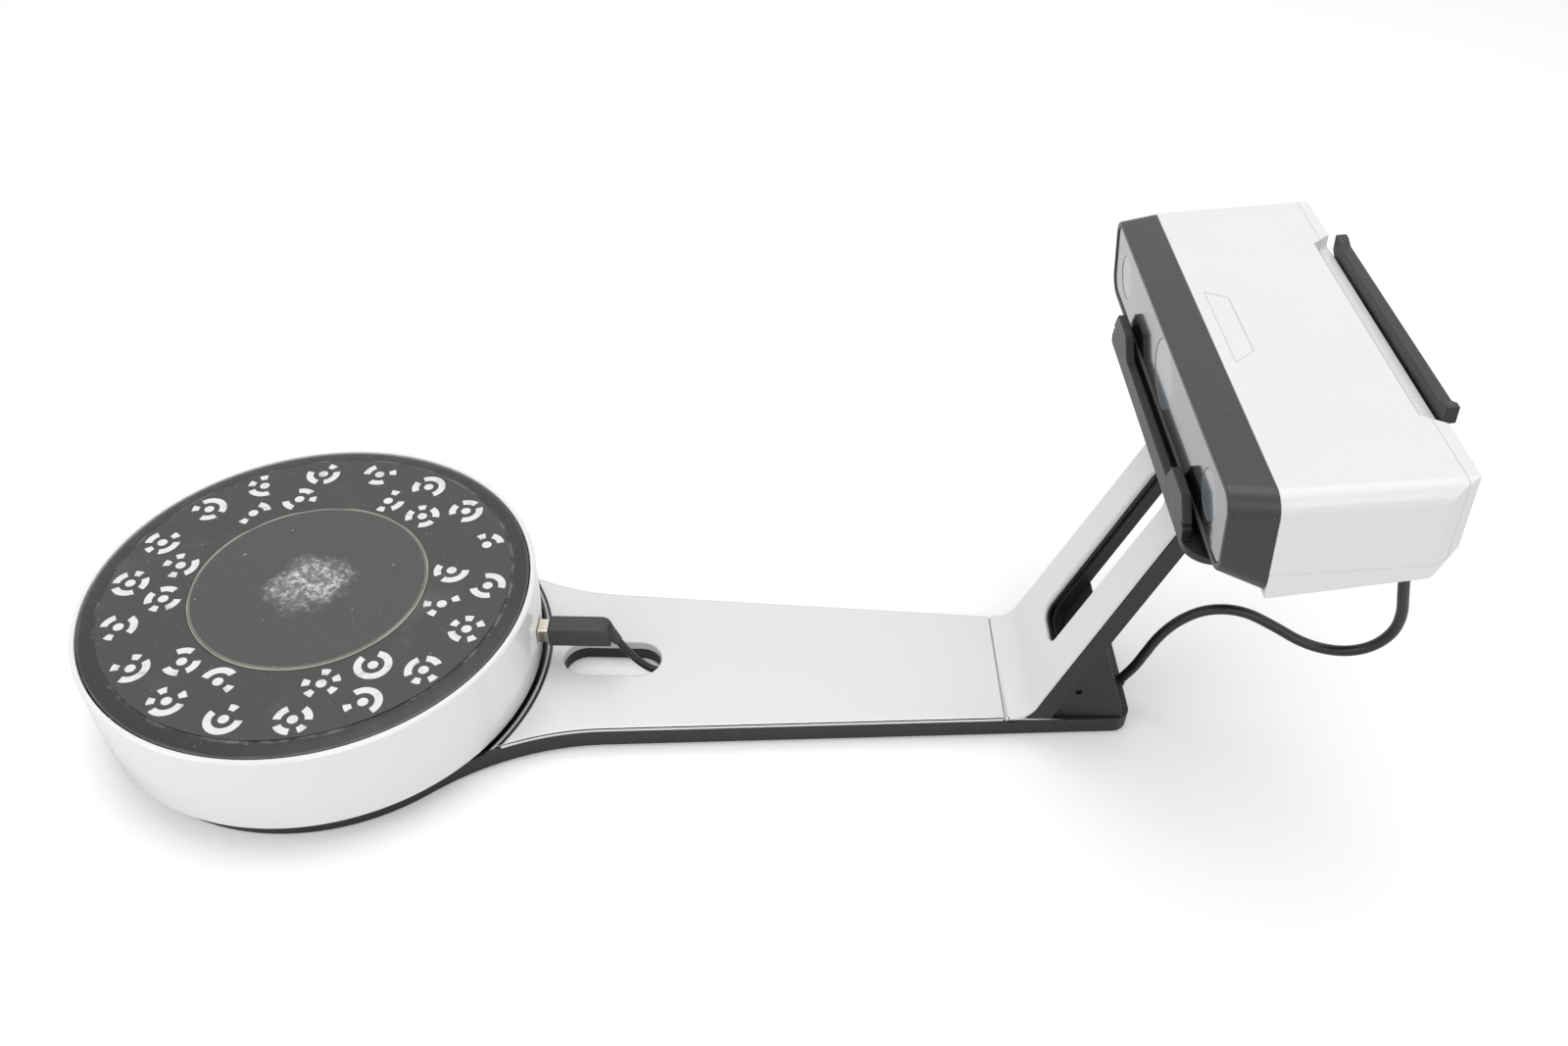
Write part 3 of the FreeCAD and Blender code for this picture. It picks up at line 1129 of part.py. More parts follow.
def build_head_inside():
    """Optical bench with two cameras and a projector, the main board, ports and button."""
    bench = box("bench_plate", "bench_thick", "190", "29", (size.bench_at, 0, BENCH_LOW))
    eyes = [cylinder("bench_eye%d" % k, radius, "20", (size.bench_at - 5, across, size.window_height), ALONG_X)
            for k, (across, radius) in enumerate(BARRELS)]
    node("optical_bench", cut("bench_final", bench, *eyes), HEAD)
    barrel_start = size.panel_inset + size.panel_thick + 2
    back = size.bench_at + size.bench_thick
    barrels = []
    for k, (across, radius) in enumerate(BARRELS):
        outside = cylinder("barrel_tube%d" % k, radius + " - fit_gap", "%g" % (back - barrel_start),
                           (barrel_start, across, size.window_height), ALONG_X)
        hood = cylinder("barrel_hood%d" % k, radius + " - 1.6", "4",
                        (barrel_start - 1, across, size.window_height), ALONG_X)
        barrels.append(cut("barrel%d" % k, outside, hood))
    node("camera_lens_barrels", group("camera_barrels", barrels[0], barrels[2]), HEAD)
    node("projector_lens_barrel", barrels[1], HEAD)
    bodies = []
    for k, across in enumerate((-size.camera_at, size.camera_at)):
        block = box("camera_block%d" % k, "camera_deep", "camera_side", "camera_side",
                    (back, across, size.window_height - size.camera_side / 2))
        bodies.append(rounded("camera_soft%d" % k, block, 1.5,
                              lambda edge: along(edge, FreeCAD.Vector(1, 0, 0))))
    node("camera_bodies", group("camera_body_set", *bodies), HEAD)
    engine = box("engine_block", "engine_deep", "2 * engine_half", "27", (back, 0, BENCH_LOW + 1))
    fins = [box("engine_fin%d" % k, "engine_deep - 10", "1.6", "6", (back + 12, 4 * k - 16, BENCH_LOW + 24))
            for k in range(9)]
    node("projector_engine", cut("engine_final", engine, *fins), HEAD)

    board_at = (48, 79)
    height = size.main_board_height
    board = box("main_plate", "%g" % (board_at[1] - board_at[0]), "66", "board_thick",
                (board_at[0], -60, height))
    top = height + size.board_thick
    chips = [box("main_chip%d" % k, *sizes, at=(depth, across, top)) for k, (sizes, depth, across) in
             enumerate(((("14", "14", "1.6"), 52, -45), (("8", "10", "1.2"), 54, -70), (("9", "8", "6"), 54, -84)))]
    node("main_board", group("main_board_set", board, *chips), HEAD)
    port_start = size.head_deep - 12
    usb = box("usb_shell", "12", "12", "7", (port_start, HEAD_PORT_Y, HEAD_PORT_Z - 3.5))
    usb_mouth = box("usb_mouth", "12", "9", "4", (port_start + 3, HEAD_PORT_Y, HEAD_PORT_Z - 2))
    node("usb_port", cut("usb_final", usb, usb_mouth), HEAD)
    jack = box("jack_block", "8", "9", "%g" % (HEAD_PORT_Z + 4.5 - top), (port_start, JACK_Y, top))
    sleeve = cylinder("jack_sleeve", "4", "12", (port_start, JACK_Y, HEAD_PORT_Z + 0.5), ALONG_X)
    bore = cylinder("jack_bore", "2.8", "12", (port_start + 3, JACK_Y, HEAD_PORT_Z + 0.5), ALONG_X)
    pin = cylinder("jack_pin", "1", "9", (port_start + 2.5, JACK_Y, HEAD_PORT_Z + 0.5), ALONG_X)
    node("power_jack", join("jack_final", cut("jack_bored", join("jack_joined", jack, sleeve), bore), pin), HEAD)

    cap_start = size.head_deep - size.head_wall - 2.4
    cap = cylinder("button_cap", "button_radius", "button_proud + head_wall + 0.4",
                   (size.head_deep - size.head_wall - 0.4, size.button_at, size.button_height), ALONG_X)
    flange = cylinder("button_flange", "button_radius + 1.2", "0.9",
                      (size.head_deep - size.head_wall - 0.3 - 0.9, size.button_at, size.button_height), ALONG_X)
    node("power_button", join("button_final", cap, flange), HEAD)
    switch_end = size.head_deep - size.head_wall - 1.2 - size.button_travel - 0.15
    switch = box("switch_block", "4", "7", "7", (switch_end - 4, size.button_at, size.button_height - 3.5))
    switch_board = box("switch_board", "board_thick", "16", "26",
                       (switch_end - 4 - size.board_thick, size.button_at, size.button_height - 13))
    node("button_switch", switch, HEAD)
    hanger = box("button_hanger", "3", "12", "%g" % (size.head_top - size.head_wall - 25),
                 (switch_end - 4 - size.board_thick - 3, size.button_at, 25))
    node("button_board", group("button_board_set", switch_board, hanger), HEAD)


# ---- leads ------------------------------------------------------------------------------------------

def tube(name, points, radius):
    """A round tube along straight runs joined by tangent arcs. It prints its arcs' radii."""
    places = [FreeCAD.Vector(*point) for point in points]
    edges = []
    radii = []
    start = places[0]
    length = 0.0
    for before, corner, after in zip(places, places[1:], places[2:]):
        arriving = (corner - before).normalize()
        leaving = (after - corner).normalize()
        turn = arriving.getAngle(leaving)
        reach = 0.45 * min(before.distanceToPoint(corner), corner.distanceToPoint(after))
        bend = reach / math.tan(turn / 2)
        first = corner - arriving * reach
        last = corner + leaving * reach
        inward = (leaving - arriving).normalize()
        centre_gap = bend / math.cos(turn / 2)
        middle = corner + inward * (centre_gap - bend)
        edges.append(Part.LineSegment(start, first).toShape())
        edges.append(Part.Arc(first, middle, last).toShape())
        length += start.distanceToPoint(first) + bend * turn
        radii.append(round(bend, 1))
        start = last
    edges.append(Part.LineSegment(start, places[-1]).toShape())
    length += start.distanceToPoint(places[-1])
    spine = Part.Wire(edges)
    section = Part.Wire([Part.Circle(places[0], places[1] - places[0], radius).toShape()])
    solid = spine.makePipeShell([section], True, False)
    expected = math.pi * radius * radius * length
    print(name, "length %.1f" % length, "radii", radii, "volume ratio %.4f" % (solid.Volume / expected))
    return shaped(name, solid)


def build_leads():
    """Turntable lead from the drum's socket into the base, and the scanner's lead behind the arm."""
    axis = size.axis_x
    tongue = box("tongue_block", "plug_start - drum_radius + 11", "tongue_wide", "tongue_tall",
                 (axis + size.drum_radius - 11, 0, size.socket_height - size.tongue_tall / 2))
    node("turntable_plug_tongue", tongue)
    body = box("plug_block", "plug_length", "plug_wide", "plug_tall",
               (axis + size.plug_start, 0, size.socket_height - size.plug_tall / 2))
    end_x = axis + size.plug_start + size.plug_length

    def top_end(edge):
        middle = edge.CenterOfMass
        return along(edge, FreeCAD.Vector(0, 1, 0)) and middle.x > end_x - 0.1 and middle.z > size.socket_height

    nose = rounded("plug_nose", body, 5.0, top_end)
    soft = rounded("plug_soft", nose, 1.0, lambda edge: along(edge, FreeCAD.Vector(1, 0, 0)))
    node("turntable_plug", soft)

    first = FreeCAD.Vector(*LEAD[0])
    leaving = (FreeCAD.Vector(*LEAD[1]) - first).normalize()
    relief = doc.addObject("Part::Cone", "relief_cone")
    bind(relief, Radius1="short_lead_radius + 1.5", Radius2="short_lead_radius + 0.5", Height="9")
    relief.Placement = FreeCAD.Placement(first - leaving * 9, FreeCAD.Rotation(UP, leaving))
    node("turntable_strain_relief", cut("relief_final", relief, soft))
    node("turntable_lead", tube("turntable_lead_tube", LEAD, size.short_lead_radius))
    node("inner_lead_run", tube("inner_run_tube", INNER_RUN, size.lead_radius))
    node("scanner_lead", tube("scanner_lead_tube", SCANNER_LEAD, size.lead_radius))

    turn = lead_exit_turn()
    grommet = cone("grommet_cone", "lead_radius + 1.4", "lead_radius + 0.7", "grommet_length",
                   tuple(grommet_start()), turn)
    bore = cylinder("grommet_bore", "lead_radius + fit_gap", "grommet_length * 0.6",
                    tuple(grommet_start(-0.1)), turn)
    node("lead_grommet", cut("grommet_final", grommet, bore))

    plug = box("head_plug_block", "13", "12", "11", (size.head_deep + 0.4, HEAD_PORT_Y, HEAD_PORT_Z - 5))
    plug_soft = rounded("head_plug_soft", plug, 2.0, lambda edge: along(edge, FreeCAD.Vector(0, 1, 0))
                        and edge.CenterOfMass.x > size.head_deep + 10)
    tab = box("head_plug_tab", "9", "8.4", "3.4", (size.head_deep - 8, HEAD_PORT_Y, HEAD_PORT_Z - 1.7))
    node("scanner_plug", join("head_plug_final", plug_soft, tab), HEAD)
    last = FreeCAD.Vector(*SCANNER_LEAD[-1])
    into = (last - FreeCAD.Vector(*SCANNER_LEAD[-2])).normalize()
    collar = doc.addObject("Part::Cone", "head_relief_cone")
    bind(collar, Radius1="lead_radius + 0.5", Radius2="lead_radius + 1.5", Height="14")
    collar.Placement = FreeCAD.Placement(last, FreeCAD.Rotation(UP, into))
    node("scanner_strain_relief", cut("head_relief_final", collar, plug_soft_in_place(plug_soft)))


def plug_soft_in_place(plug):
    """The scanner plug's body where it stands, as a tool that trims its strain relief."""
    placed = shaped("head_plug_tool", plug.Shape.copy())
    placed.Placement = HEAD.multiply(plug.Placement)
    return placed


# ---- places shared by several pieces -------------------------------------------------------------------

ARM_SCREW_DEPTH = 30.5
BENCH_LOW = 5.5
LEAD_WAY = 7.5
HEAD_PORT_Y = -55.0
HEAD_PORT_Z = 12.5
JACK_Y = -80.0
LEAD_EXIT_Y = -12.0
COVER_BOSSES = [(size.axis_x + at, side * 30) for at in (185, 300) for side in (-1, 1)]
PAN_SCREWS = ring_places(4, size.post_ring, 22.5)
MAIN_POSTS = [(52, -88), (52, -32), (74, -36)]
WINDOWS = [(-size.camera_at, "camera_window"), (0, "projector_window"), (size.camera_at, "camera_window")]
BARRELS = [(-size.camera_at, "barrel_radius"), (0, "projector_barrel"), (size.camera_at, "barrel_radius")]

# The leads' routes, from the turntable axis; each point turns the run a little.
LEAD = [(size.axis_x + x, y, z) for x, y, z in (
    (143.0, -0.5, 26.5), (148.0, -1.2, 19.0), (153.5, -2.1, 12.5), (160.5, -2.9, 7.8), (169.0, -3.2, 6.2))]
INNER_RUN = [(size.axis_x + x, y, z) for x, y, z in (
    (169.5, -3.2, 6.2), (182.0, -3.6, 6.1), (212.0, -6.0, 6.3), (250.0, -10.0, 6.2), (300.0, -12.0, 6.3),
    (342.0, -12.1, 6.2), (366.0, -12.0, 6.3), (378.6, -11.5, 6.4), (384.1, -11.25, 9.6),
    (386.9, -11.75, 14.9))]
SCANNER_LEAD = [(size.axis_x + x, y, z) for x, y, z in (
    (388.3, -12.0, 17.5), (392.8, -12.8, 26.0), (396.0, -14.0, 38.5), (399.6, -15.8, 53.0),
    (406.0, -18.0, 66.0), (416.2, -20.0, 75.0), (430.0, -23.5, 77.8), (443.6, -28.5, 73.5),
    (457.2, -34.5, 68.2), (470.5, -40.5, 69.5), (480.8, -45.0, 77.0), (485.8, -48.0, 89.5),
    (484.6, -50.0, 103.0), (480.0, -51.2, 116.5), (475.8, -52.3, 129.5), (473.4, -53.4, 143.0),
    (472.0, -54.3, 156.0), (470.6, -54.9, 169.0))]


def check_and_export():
    """Stops on any failed feature or bad shape, then writes one file for each node."""
    doc.recompute()
    for obj in doc.Objects:
        if "Invalid" in obj.State or "Error" in obj.State:
            raise RuntimeError("failed feature: " + obj.Name)
    for obj in NODES:
        shape = obj.Shape
        if shape.isNull() or not shape.isValid() or not shape.Solids:
            raise RuntimeError("bad shape: " + obj.Label)
    for obj in NODES:
        obj.Shape.exportStep("parts/%s.step" % obj.Label)
    print(len(NODES), "nodes")


build_drum(build_base())
build_drive()
build_arm()
build_heel()
build_cradle()
build_head_shell()
build_head_inside()
build_leads()
check_and_export()
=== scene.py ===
import json
import math
import random

import bmesh
import bpy
from mathutils import Matrix, Vector


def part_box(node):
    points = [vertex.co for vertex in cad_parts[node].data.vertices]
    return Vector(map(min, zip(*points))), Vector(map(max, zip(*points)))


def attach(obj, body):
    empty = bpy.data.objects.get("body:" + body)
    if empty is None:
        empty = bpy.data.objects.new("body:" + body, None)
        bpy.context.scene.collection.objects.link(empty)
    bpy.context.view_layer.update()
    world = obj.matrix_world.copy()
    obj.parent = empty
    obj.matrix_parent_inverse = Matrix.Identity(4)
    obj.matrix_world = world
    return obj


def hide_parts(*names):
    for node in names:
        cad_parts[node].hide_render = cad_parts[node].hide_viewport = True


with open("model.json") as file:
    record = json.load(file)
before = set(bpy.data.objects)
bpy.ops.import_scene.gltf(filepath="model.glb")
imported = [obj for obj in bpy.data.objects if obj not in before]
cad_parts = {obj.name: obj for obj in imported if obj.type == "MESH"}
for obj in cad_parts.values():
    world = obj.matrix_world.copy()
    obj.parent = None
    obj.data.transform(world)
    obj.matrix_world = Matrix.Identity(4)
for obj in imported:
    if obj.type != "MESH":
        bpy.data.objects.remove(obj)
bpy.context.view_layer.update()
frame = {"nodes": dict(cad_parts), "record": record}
nodes = frame["nodes"]
MM = 0.001
TABLE_LIFT = 0.22  # how much the white table is brightened for the viewer only
LAMP_AIM = (0.0, 0.0, 0.05)

# ---- Table and studio ------------------------------------------------------------------------
# The scanner stands on a plain white table in soft light, seen from above its long side.
# The lamps stay at a level at which a colour renders about as it is written.

scene = bpy.context.scene
scene.view_settings.view_transform = "Standard"

camera_data = bpy.data.cameras.new("camera")
camera_data.sensor_width = 36.0
camera_data.lens = 29.6
camera = bpy.data.objects.new("camera", camera_data)
camera.location = (0.0378, -0.4366, 0.4861)
look_down, look_aside, lean = 0.7185, 0.011, 0.026
camera.rotation_euler = (
    Matrix.Rotation(-look_aside, 3, "Z")
    @ Matrix.Rotation(math.pi / 2 - look_down, 3, "X")
    @ Matrix.Rotation(lean, 3, "Z")
).to_euler()
scene.collection.objects.link(camera)
scene.camera = camera


def plain_mesh(name, faces_of):
    """An object whose mesh is filled by the given function on a fresh bmesh."""
    mesh = bpy.data.meshes.new(name)
    form = bmesh.new()
    faces_of(form)
    form.to_mesh(mesh)
    form.free()
    piece = bpy.data.objects.new(name, mesh)
    scene.collection.objects.link(piece)
    return piece


floor = plain_mesh("table", lambda form: bmesh.ops.create_grid(form, x_segments=1, y_segments=1, size=4.0))
floor_material = bpy.data.materials.new("table_white")
floor_material.use_nodes = True
floor_shader = floor_material.node_tree.nodes["Principled BSDF"]
floor_shader.inputs["Base Color"].default_value = (0.93, 0.93, 0.935, 1)
floor_shader.inputs["Roughness"].default_value = 0.6
floor_shader.inputs["Specular IOR Level"].default_value = 0.2
floor_shader.inputs["Emission Color"].default_value = (1, 1, 1, 1)
floor_nodes = floor_material.node_tree
floor_ray = floor_nodes.nodes.new("ShaderNodeLightPath")
lift = floor_nodes.nodes.new("ShaderNodeMath")
lift.operation = "MULTIPLY"
lift.inputs[1].default_value = TABLE_LIFT
floor_nodes.links.new(floor_ray.outputs["Is Camera Ray"], lift.inputs[0])
floor_nodes.links.new(lift.outputs[0], floor_shader.inputs["Emission Strength"])
floor.data.materials.append(floor_material)


def softbox(name, place, aim, width, depth, power):
    """A rectangular lamp at the place that shines towards the aim."""
    lamp = bpy.data.lights.new(name, "AREA")
    lamp.shape = "RECTANGLE"
    lamp.size = width
    lamp.size_y = depth
    lamp.energy = power
    holder = bpy.data.objects.new(name, lamp)
    holder.location = place
    holder.rotation_euler = (Vector(aim) - Vector(place)).to_track_quat("-Z", "Y").to_euler()
    scene.collection.objects.link(holder)


softbox("top_box", (0.1, 0.35, 1.6), LAMP_AIM, 1.6, 1.2, 10.5)
softbox("left_box", (-1.3, -0.7, 0.9), LAMP_AIM, 0.9, 0.9, 4.0)
softbox("front_box", (0.4, -1.3, 1.1), (0.05, 0.0, 0.05), 1.2, 0.7, 4.0)

world = bpy.data.worlds.new("studio")
scene.world = world
world.use_nodes = True
sky = world.node_tree
sky_light = sky.nodes["Background"]
sky_light.inputs["Color"].default_value = (0.98, 0.99, 1.0, 1)
sky_light.inputs["Strength"].default_value = 0.56
sky_seen = sky.nodes.new("ShaderNodeBackground")
sky_seen.inputs["Color"].default_value = (1, 1, 1, 1)
sky_seen.inputs["Strength"].default_value = 1.0
ray = sky.nodes.new("ShaderNodeLightPath")
seen_ray = ray.outputs["Is Camera Ray"]
for kind in ("Is Glossy Ray", "Is Transmission Ray"):
    either = sky.nodes.new("ShaderNodeMath")
    either.operation = "MAXIMUM"
    sky.links.new(seen_ray, either.inputs[0])
    sky.links.new(ray.outputs[kind], either.inputs[1])
    seen_ray = either.outputs[0]
sky_mix = sky.nodes.new("ShaderNodeMixShader")
sky.links.new(seen_ray, sky_mix.inputs["Fac"])
sky.links.new(sky_light.outputs[0], sky_mix.inputs[1])
sky.links.new(sky_seen.outputs[0], sky_mix.inputs[2])
sky.links.new(sky_mix.outputs[0], sky.nodes["World Output"].inputs["Surface"])

# ---- Leads -----------------------------------------------------------------------------------
# Two round black leads with a satin sheath: a short one from the drum's plug down into the
# base, and the scanner's own, out of the heel and up to the back of the head.


def shader_group(name, inputs, outputs):
    """An empty shader node group with float inputs and the given outputs."""
    tree = bpy.data.node_groups.new(name, "ShaderNodeTree")
    for socket, value in inputs:
        made = tree.interface.new_socket(socket, in_out="INPUT", socket_type="NodeSocketFloat")
        made.default_value = value
    for socket, kind in outputs:
        tree.interface.new_socket(socket, in_out="OUTPUT", socket_type=kind)
    return tree, tree.nodes.new("NodeGroupInput"), tree.nodes.new("NodeGroupOutput")


def add(tree, kind, **settings):
    made = tree.nodes.new(kind)
    for key, value in settings.items():
        setattr(made, key, value)
    return made


def math_node(tree, operation, first, second=None, third=None):
    """A Math node; each operand is a socket or a number. Returns its output."""
    made = add(tree, "ShaderNodeMath", operation=operation)
    for slot, operand in enumerate((first, second, third)):
        if operand is None:
            continue
        if isinstance(operand, (int, float)):
            made.inputs[slot].default_value = operand
        else:
            tree.links.new(operand, made.inputs[slot])
    return made.outputs[0]


def noise(tree, place, scale, detail=3.0, rough=0.5):
    made = add(tree, "ShaderNodeTexNoise")
    tree.links.new(place, made.inputs["Vector"])
    if isinstance(scale, (int, float)):
        made.inputs["Scale"].default_value = scale
    else:
        tree.links.new(scale, made.inputs["Scale"])
    made.inputs["Detail"].default_value = detail
    made.inputs["Roughness"].default_value = rough
    return made.outputs["Fac"]


def band(tree, value, low, high):
    """A smooth step of the value from low to high."""
    made = add(tree, "ShaderNodeMapRange", interpolation_type="SMOOTHSTEP")
    tree.links.new(value, made.inputs["Value"])
    made.inputs["From Min"].default_value = low
    made.inputs["From Max"].default_value = high
    return made.outputs["Result"]


def moulded_surface():
    """Fine moulding grain, a slow change of gloss, and sparse dust, for every hard finish."""
    tree, given, result = shader_group("moulded_surface", [
        ("Grain Size", 3000.0), ("Grain Height", 0.1), ("Gloss", 0.4), ("Gloss Change", 0.06), ("Dust", 0.1),
    ], [("Roughness", "NodeSocketFloat"), ("Height", "NodeSocketFloat"), ("Tone", "NodeSocketFloat"),
        ("Dust", "NodeSocketFloat")])
    place = add(tree, "ShaderNodeTexCoord").outputs["Object"]
    fine = noise(tree, place, given.outputs["Grain Size"], 2.0)
    slow = noise(tree, place, 14.0, 3.0)
    smear = noise(tree, place, 90.0, 4.0, 0.6)
    drift = math_node(tree, "SUBTRACT", slow, 0.5)
    change = math_node(tree, "MULTIPLY", drift, given.outputs["Gloss Change"])
    smudge = math_node(tree, "SUBTRACT", smear, 0.5)
    small = math_node(tree, "MULTIPLY", smudge, given.outputs["Gloss Change"])
    rough = math_node(tree, "ADD", math_node(tree, "ADD", given.outputs["Gloss"], change), small)
    specks = noise(tree, place, 900.0, 2.0, 0.6)
    dusty = math_node(tree, "MULTIPLY", band(tree, specks, 0.70, 0.76), given.outputs["Dust"])
    tree.links.new(rough, result.inputs["Roughness"])
    tree.links.new(math_node(tree, "MULTIPLY", fine, given.outputs["Grain Height"]), result.inputs["Height"])
    tree.links.new(slow, result.inputs["Tone"])
    tree.links.new(dusty, result.inputs["Dust"])
    return tree


SURFACE = moulded_surface()


def mixed(tree, amount, first, second):
    """Mixes two colours, each a socket or a plain colour, by the amount."""
    made = add(tree, "ShaderNodeMix", data_type="RGBA")
    tree.links.new(amount, made.inputs["Factor"])
    for socket, colour in ((made.inputs["A"], first), (made.inputs["B"], second)):
        if isinstance(colour, tuple):
            socket.default_value = (*colour, 1)
        else:
            tree.links.new(colour, socket)
    return made.outputs["Result"]


def shade(red, green, blue):
    """The colour that shows as this red, green and blue out of 255."""
    return tuple(((part / 255 + 0.055) / 1.055) ** 2.4 for part in (red, green, blue))


def finish(name, colour, gloss, grain=3000.0, height=0.1, depth=0.00002, change=0.06, dust=0.1,
           tone=0.06, metal=0.0, specular=0.5, coat=0.0):
    """A hard finish in one colour whose tone, gloss and grain vary over the surface."""
    material = bpy.data.materials.new(name)
    material.use_nodes = True
    tree = material.node_tree
    shader = tree.nodes["Principled BSDF"]
    surface = add(tree, "ShaderNodeGroup", node_tree=SURFACE)
    for socket, value in (("Grain Size", grain), ("Grain Height", height), ("Gloss", gloss),
                          ("Gloss Change", change), ("Dust", dust)):
        surface.inputs[socket].default_value = value
    darker = tuple(part * (1 - tone) for part in colour)
    lighter = tuple(min(1.0, part * (1 + tone * 0.6)) for part in colour)
    toned = mixed(tree, surface.outputs["Tone"], darker, lighter)
    dusted = mixed(tree, surface.outputs["Dust"], toned, (0.55, 0.54, 0.52))
    tree.links.new(dusted, shader.inputs["Base Color"])
    tree.links.new(surface.outputs["Roughness"], shader.inputs["Roughness"])
    bump = add(tree, "ShaderNodeBump")
    bump.inputs["Distance"].default_value = depth
    bump.inputs["Strength"].default_value = 1.0
    tree.links.new(surface.outputs["Height"], bump.inputs["Height"])
    tree.links.new(bump.outputs["Normal"], shader.inputs["Normal"])
    shader.inputs["Metallic"].default_value = metal
    shader.inputs["Specular IOR Level"].default_value = specular
    shader.inputs["Coat Weight"].default_value = coat
    shader.inputs["Coat Roughness"].default_value = 0.15
    return material


def dress(node, material):
    """Gives a CAD node its finish through its own material slots."""
    slots = nodes[node].material_slots
    if not slots:
        nodes[node].data.materials.append(material)
        return
    for slot in slots:
        slot.material = material


lead_sheath = finish("lead_sheath", shade(33, 33, 34), 0.36, grain=1500, height=0.25, change=0.16,
                     dust=0.5, tone=0.3)
LEAD_WIDTH = 4.8 * MM
SHORT_LEAD_WIDTH = 3.8 * MM
axis_x = -0.180  # the turntable's axis


def lead(name, route, width, replaced):
    """A cord on a smooth curve through the route's control points."""
    curve = bpy.data.curves.new(name, "CURVE")
    curve.dimensions = "3D"
    curve.bevel_depth = width / 2
    curve.bevel_resolution = 6
    curve.resolution_u = 12
    spline = curve.splines.new("NURBS")
    spline.points.add(len(route) - 1)
    for point, (x, y, z) in zip(spline.points, route):
        point.co = (axis_x + x, y, z, 1)
    spline.order_u = 3
    spline.use_endpoint_u = True
    curve.materials.append(lead_sheath)
    piece = bpy.data.objects.new(name, curve)
    scene.collection.objects.link(piece)
    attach(piece, "base")
    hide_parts(replaced)
    return piece


turntable_route = [
    (0.1430, -0.0005, 0.0265), (0.1480, -0.0012, 0.0190), (0.1535, -0.0021, 0.0125),
    (0.1605, -0.0029, 0.0078), (0.1690, -0.0032, 0.0062),
]
scanner_route = [
    (0.3883, -0.0120, 0.0175), (0.3928, -0.0128, 0.0260), (0.3960, -0.0140, 0.0385),
    (0.3996, -0.0158, 0.0530), (0.4060, -0.0180, 0.0660), (0.4162, -0.0200, 0.0750),
    (0.4300, -0.0235, 0.0778), (0.4436, -0.0285, 0.0735), (0.4572, -0.0345, 0.0682),
    (0.4705, -0.0405, 0.0695), (0.4808, -0.0450, 0.0770), (0.4858, -0.0480, 0.0895),
    (0.4846, -0.0500, 0.1030), (0.4800, -0.0512, 0.1165), (0.4758, -0.0523, 0.1295),
    (0.4734, -0.0534, 0.1430), (0.4720, -0.0543, 0.1560), (0.4706, -0.0549, 0.1690),
]
turntable_lead = lead("turntable_lead_sheath", turntable_route, SHORT_LEAD_WIDTH, "turntable_lead")
scanner_lead = lead("scanner_lead_sheath", scanner_route, LEAD_WIDTH, "scanner_lead")
dress("inner_lead_run", lead_sheath)

# ---- Base shell and feet ---------------------------------------------------------------------
# The black under-shell is one fine-textured ABS moulding: a round end under the turntable and
# a long neck. It stands on rubber feet and is held to the cover by screws from below.

body_of = {}
for body, members in frame["record"]["behaviour"]["bodies"].items():
    for member in members:
        body_of[member] = body


def settled(piece):
    """The piece with its modifiers made into its mesh."""
    bpy.context.view_layer.update()
    whole = piece.evaluated_get(bpy.context.evaluated_depsgraph_get())
    mesh = bpy.data.meshes.new_from_object(whole)
    piece.modifiers.clear()
    piece.data = mesh
    return piece


def softened(node, width, material, segments=2, sharpest=30.0):
    """Stands for a CAD node in its own shape, with its sharp edges rounded by the given width."""
    source = nodes[node]
    form = bmesh.new()
    form.from_mesh(source.data)
    bmesh.ops.remove_doubles(form, verts=form.verts, dist=0.004 * MM)
    bmesh.ops.dissolve_limit(form, angle_limit=math.radians(0.3), verts=form.verts, edges=form.edges)
    for face in form.faces:
        face.smooth = True
    mesh = bpy.data.meshes.new(node + "_skin")
    form.to_mesh(mesh)
    form.free()
    piece = bpy.data.objects.new(node + "_skin", mesh)
    scene.collection.objects.link(piece)
    round_off = piece.modifiers.new("edge", "BEVEL")
    round_off.width = width
    round_off.segments = segments
    round_off.limit_method = "ANGLE"
    round_off.angle_limit = math.radians(sharpest)
    round_off.use_clamp_overlap = False
    shading = piece.modifiers.new("shading", "WEIGHTED_NORMAL")
    shading.keep_sharp = True
    settled(piece)
    piece.data.materials.clear()
    piece.data.materials.append(material)
    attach(piece, body_of[node])
    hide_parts(node)
    return piece


black_plastic = finish("black_plastic", shade(37, 37, 38), 0.42, grain=2600, height=0.5, depth=0.00003,
                       change=0.10, dust=0.35, tone=0.14)
soft_rubber = finish("soft_rubber", shade(44, 44, 45), 0.72, grain=4000, height=0.6, depth=0.00004,
                     change=0.08, dust=0.6, tone=0.2)
plated_steel = finish("plated_steel", (0.60, 0.58, 0.54), 0.26, grain=5200, height=0.25, change=0.16,
                      dust=0.1, tone=0.12, metal=1.0)
softened("base_shell", 0.35 * MM, black_plastic)
dress("rubber_feet", soft_rubber)
dress("base_screws", plated_steel)

# ---- Base cover and dock ring ----------------------------------------------------------------
# The white top of the neck is a moulding in silver-white satin paint, with the lead's slot
# through it. A black ring with a raised silver land fills the joint round the drum.

silver_white = finish("silver_white", shade(232, 233, 234), 0.30, grain=5200, height=0.22, depth=0.00001,
                      change=0.08, dust=0.10, tone=0.02, specular=0.5, coat=0.25)
softened("base_cover", 0.9 * MM, silver_white)


def layered(material, mask, colour):
    """Lays a colour over what the material has so far, where the mask is."""
    tree = material.node_tree
    colour_in = tree.nodes["Principled BSDF"].inputs["Base Color"]
    tree.links.new(mixed(tree, mask, colour_in.links[0].from_socket, colour), colour_in)


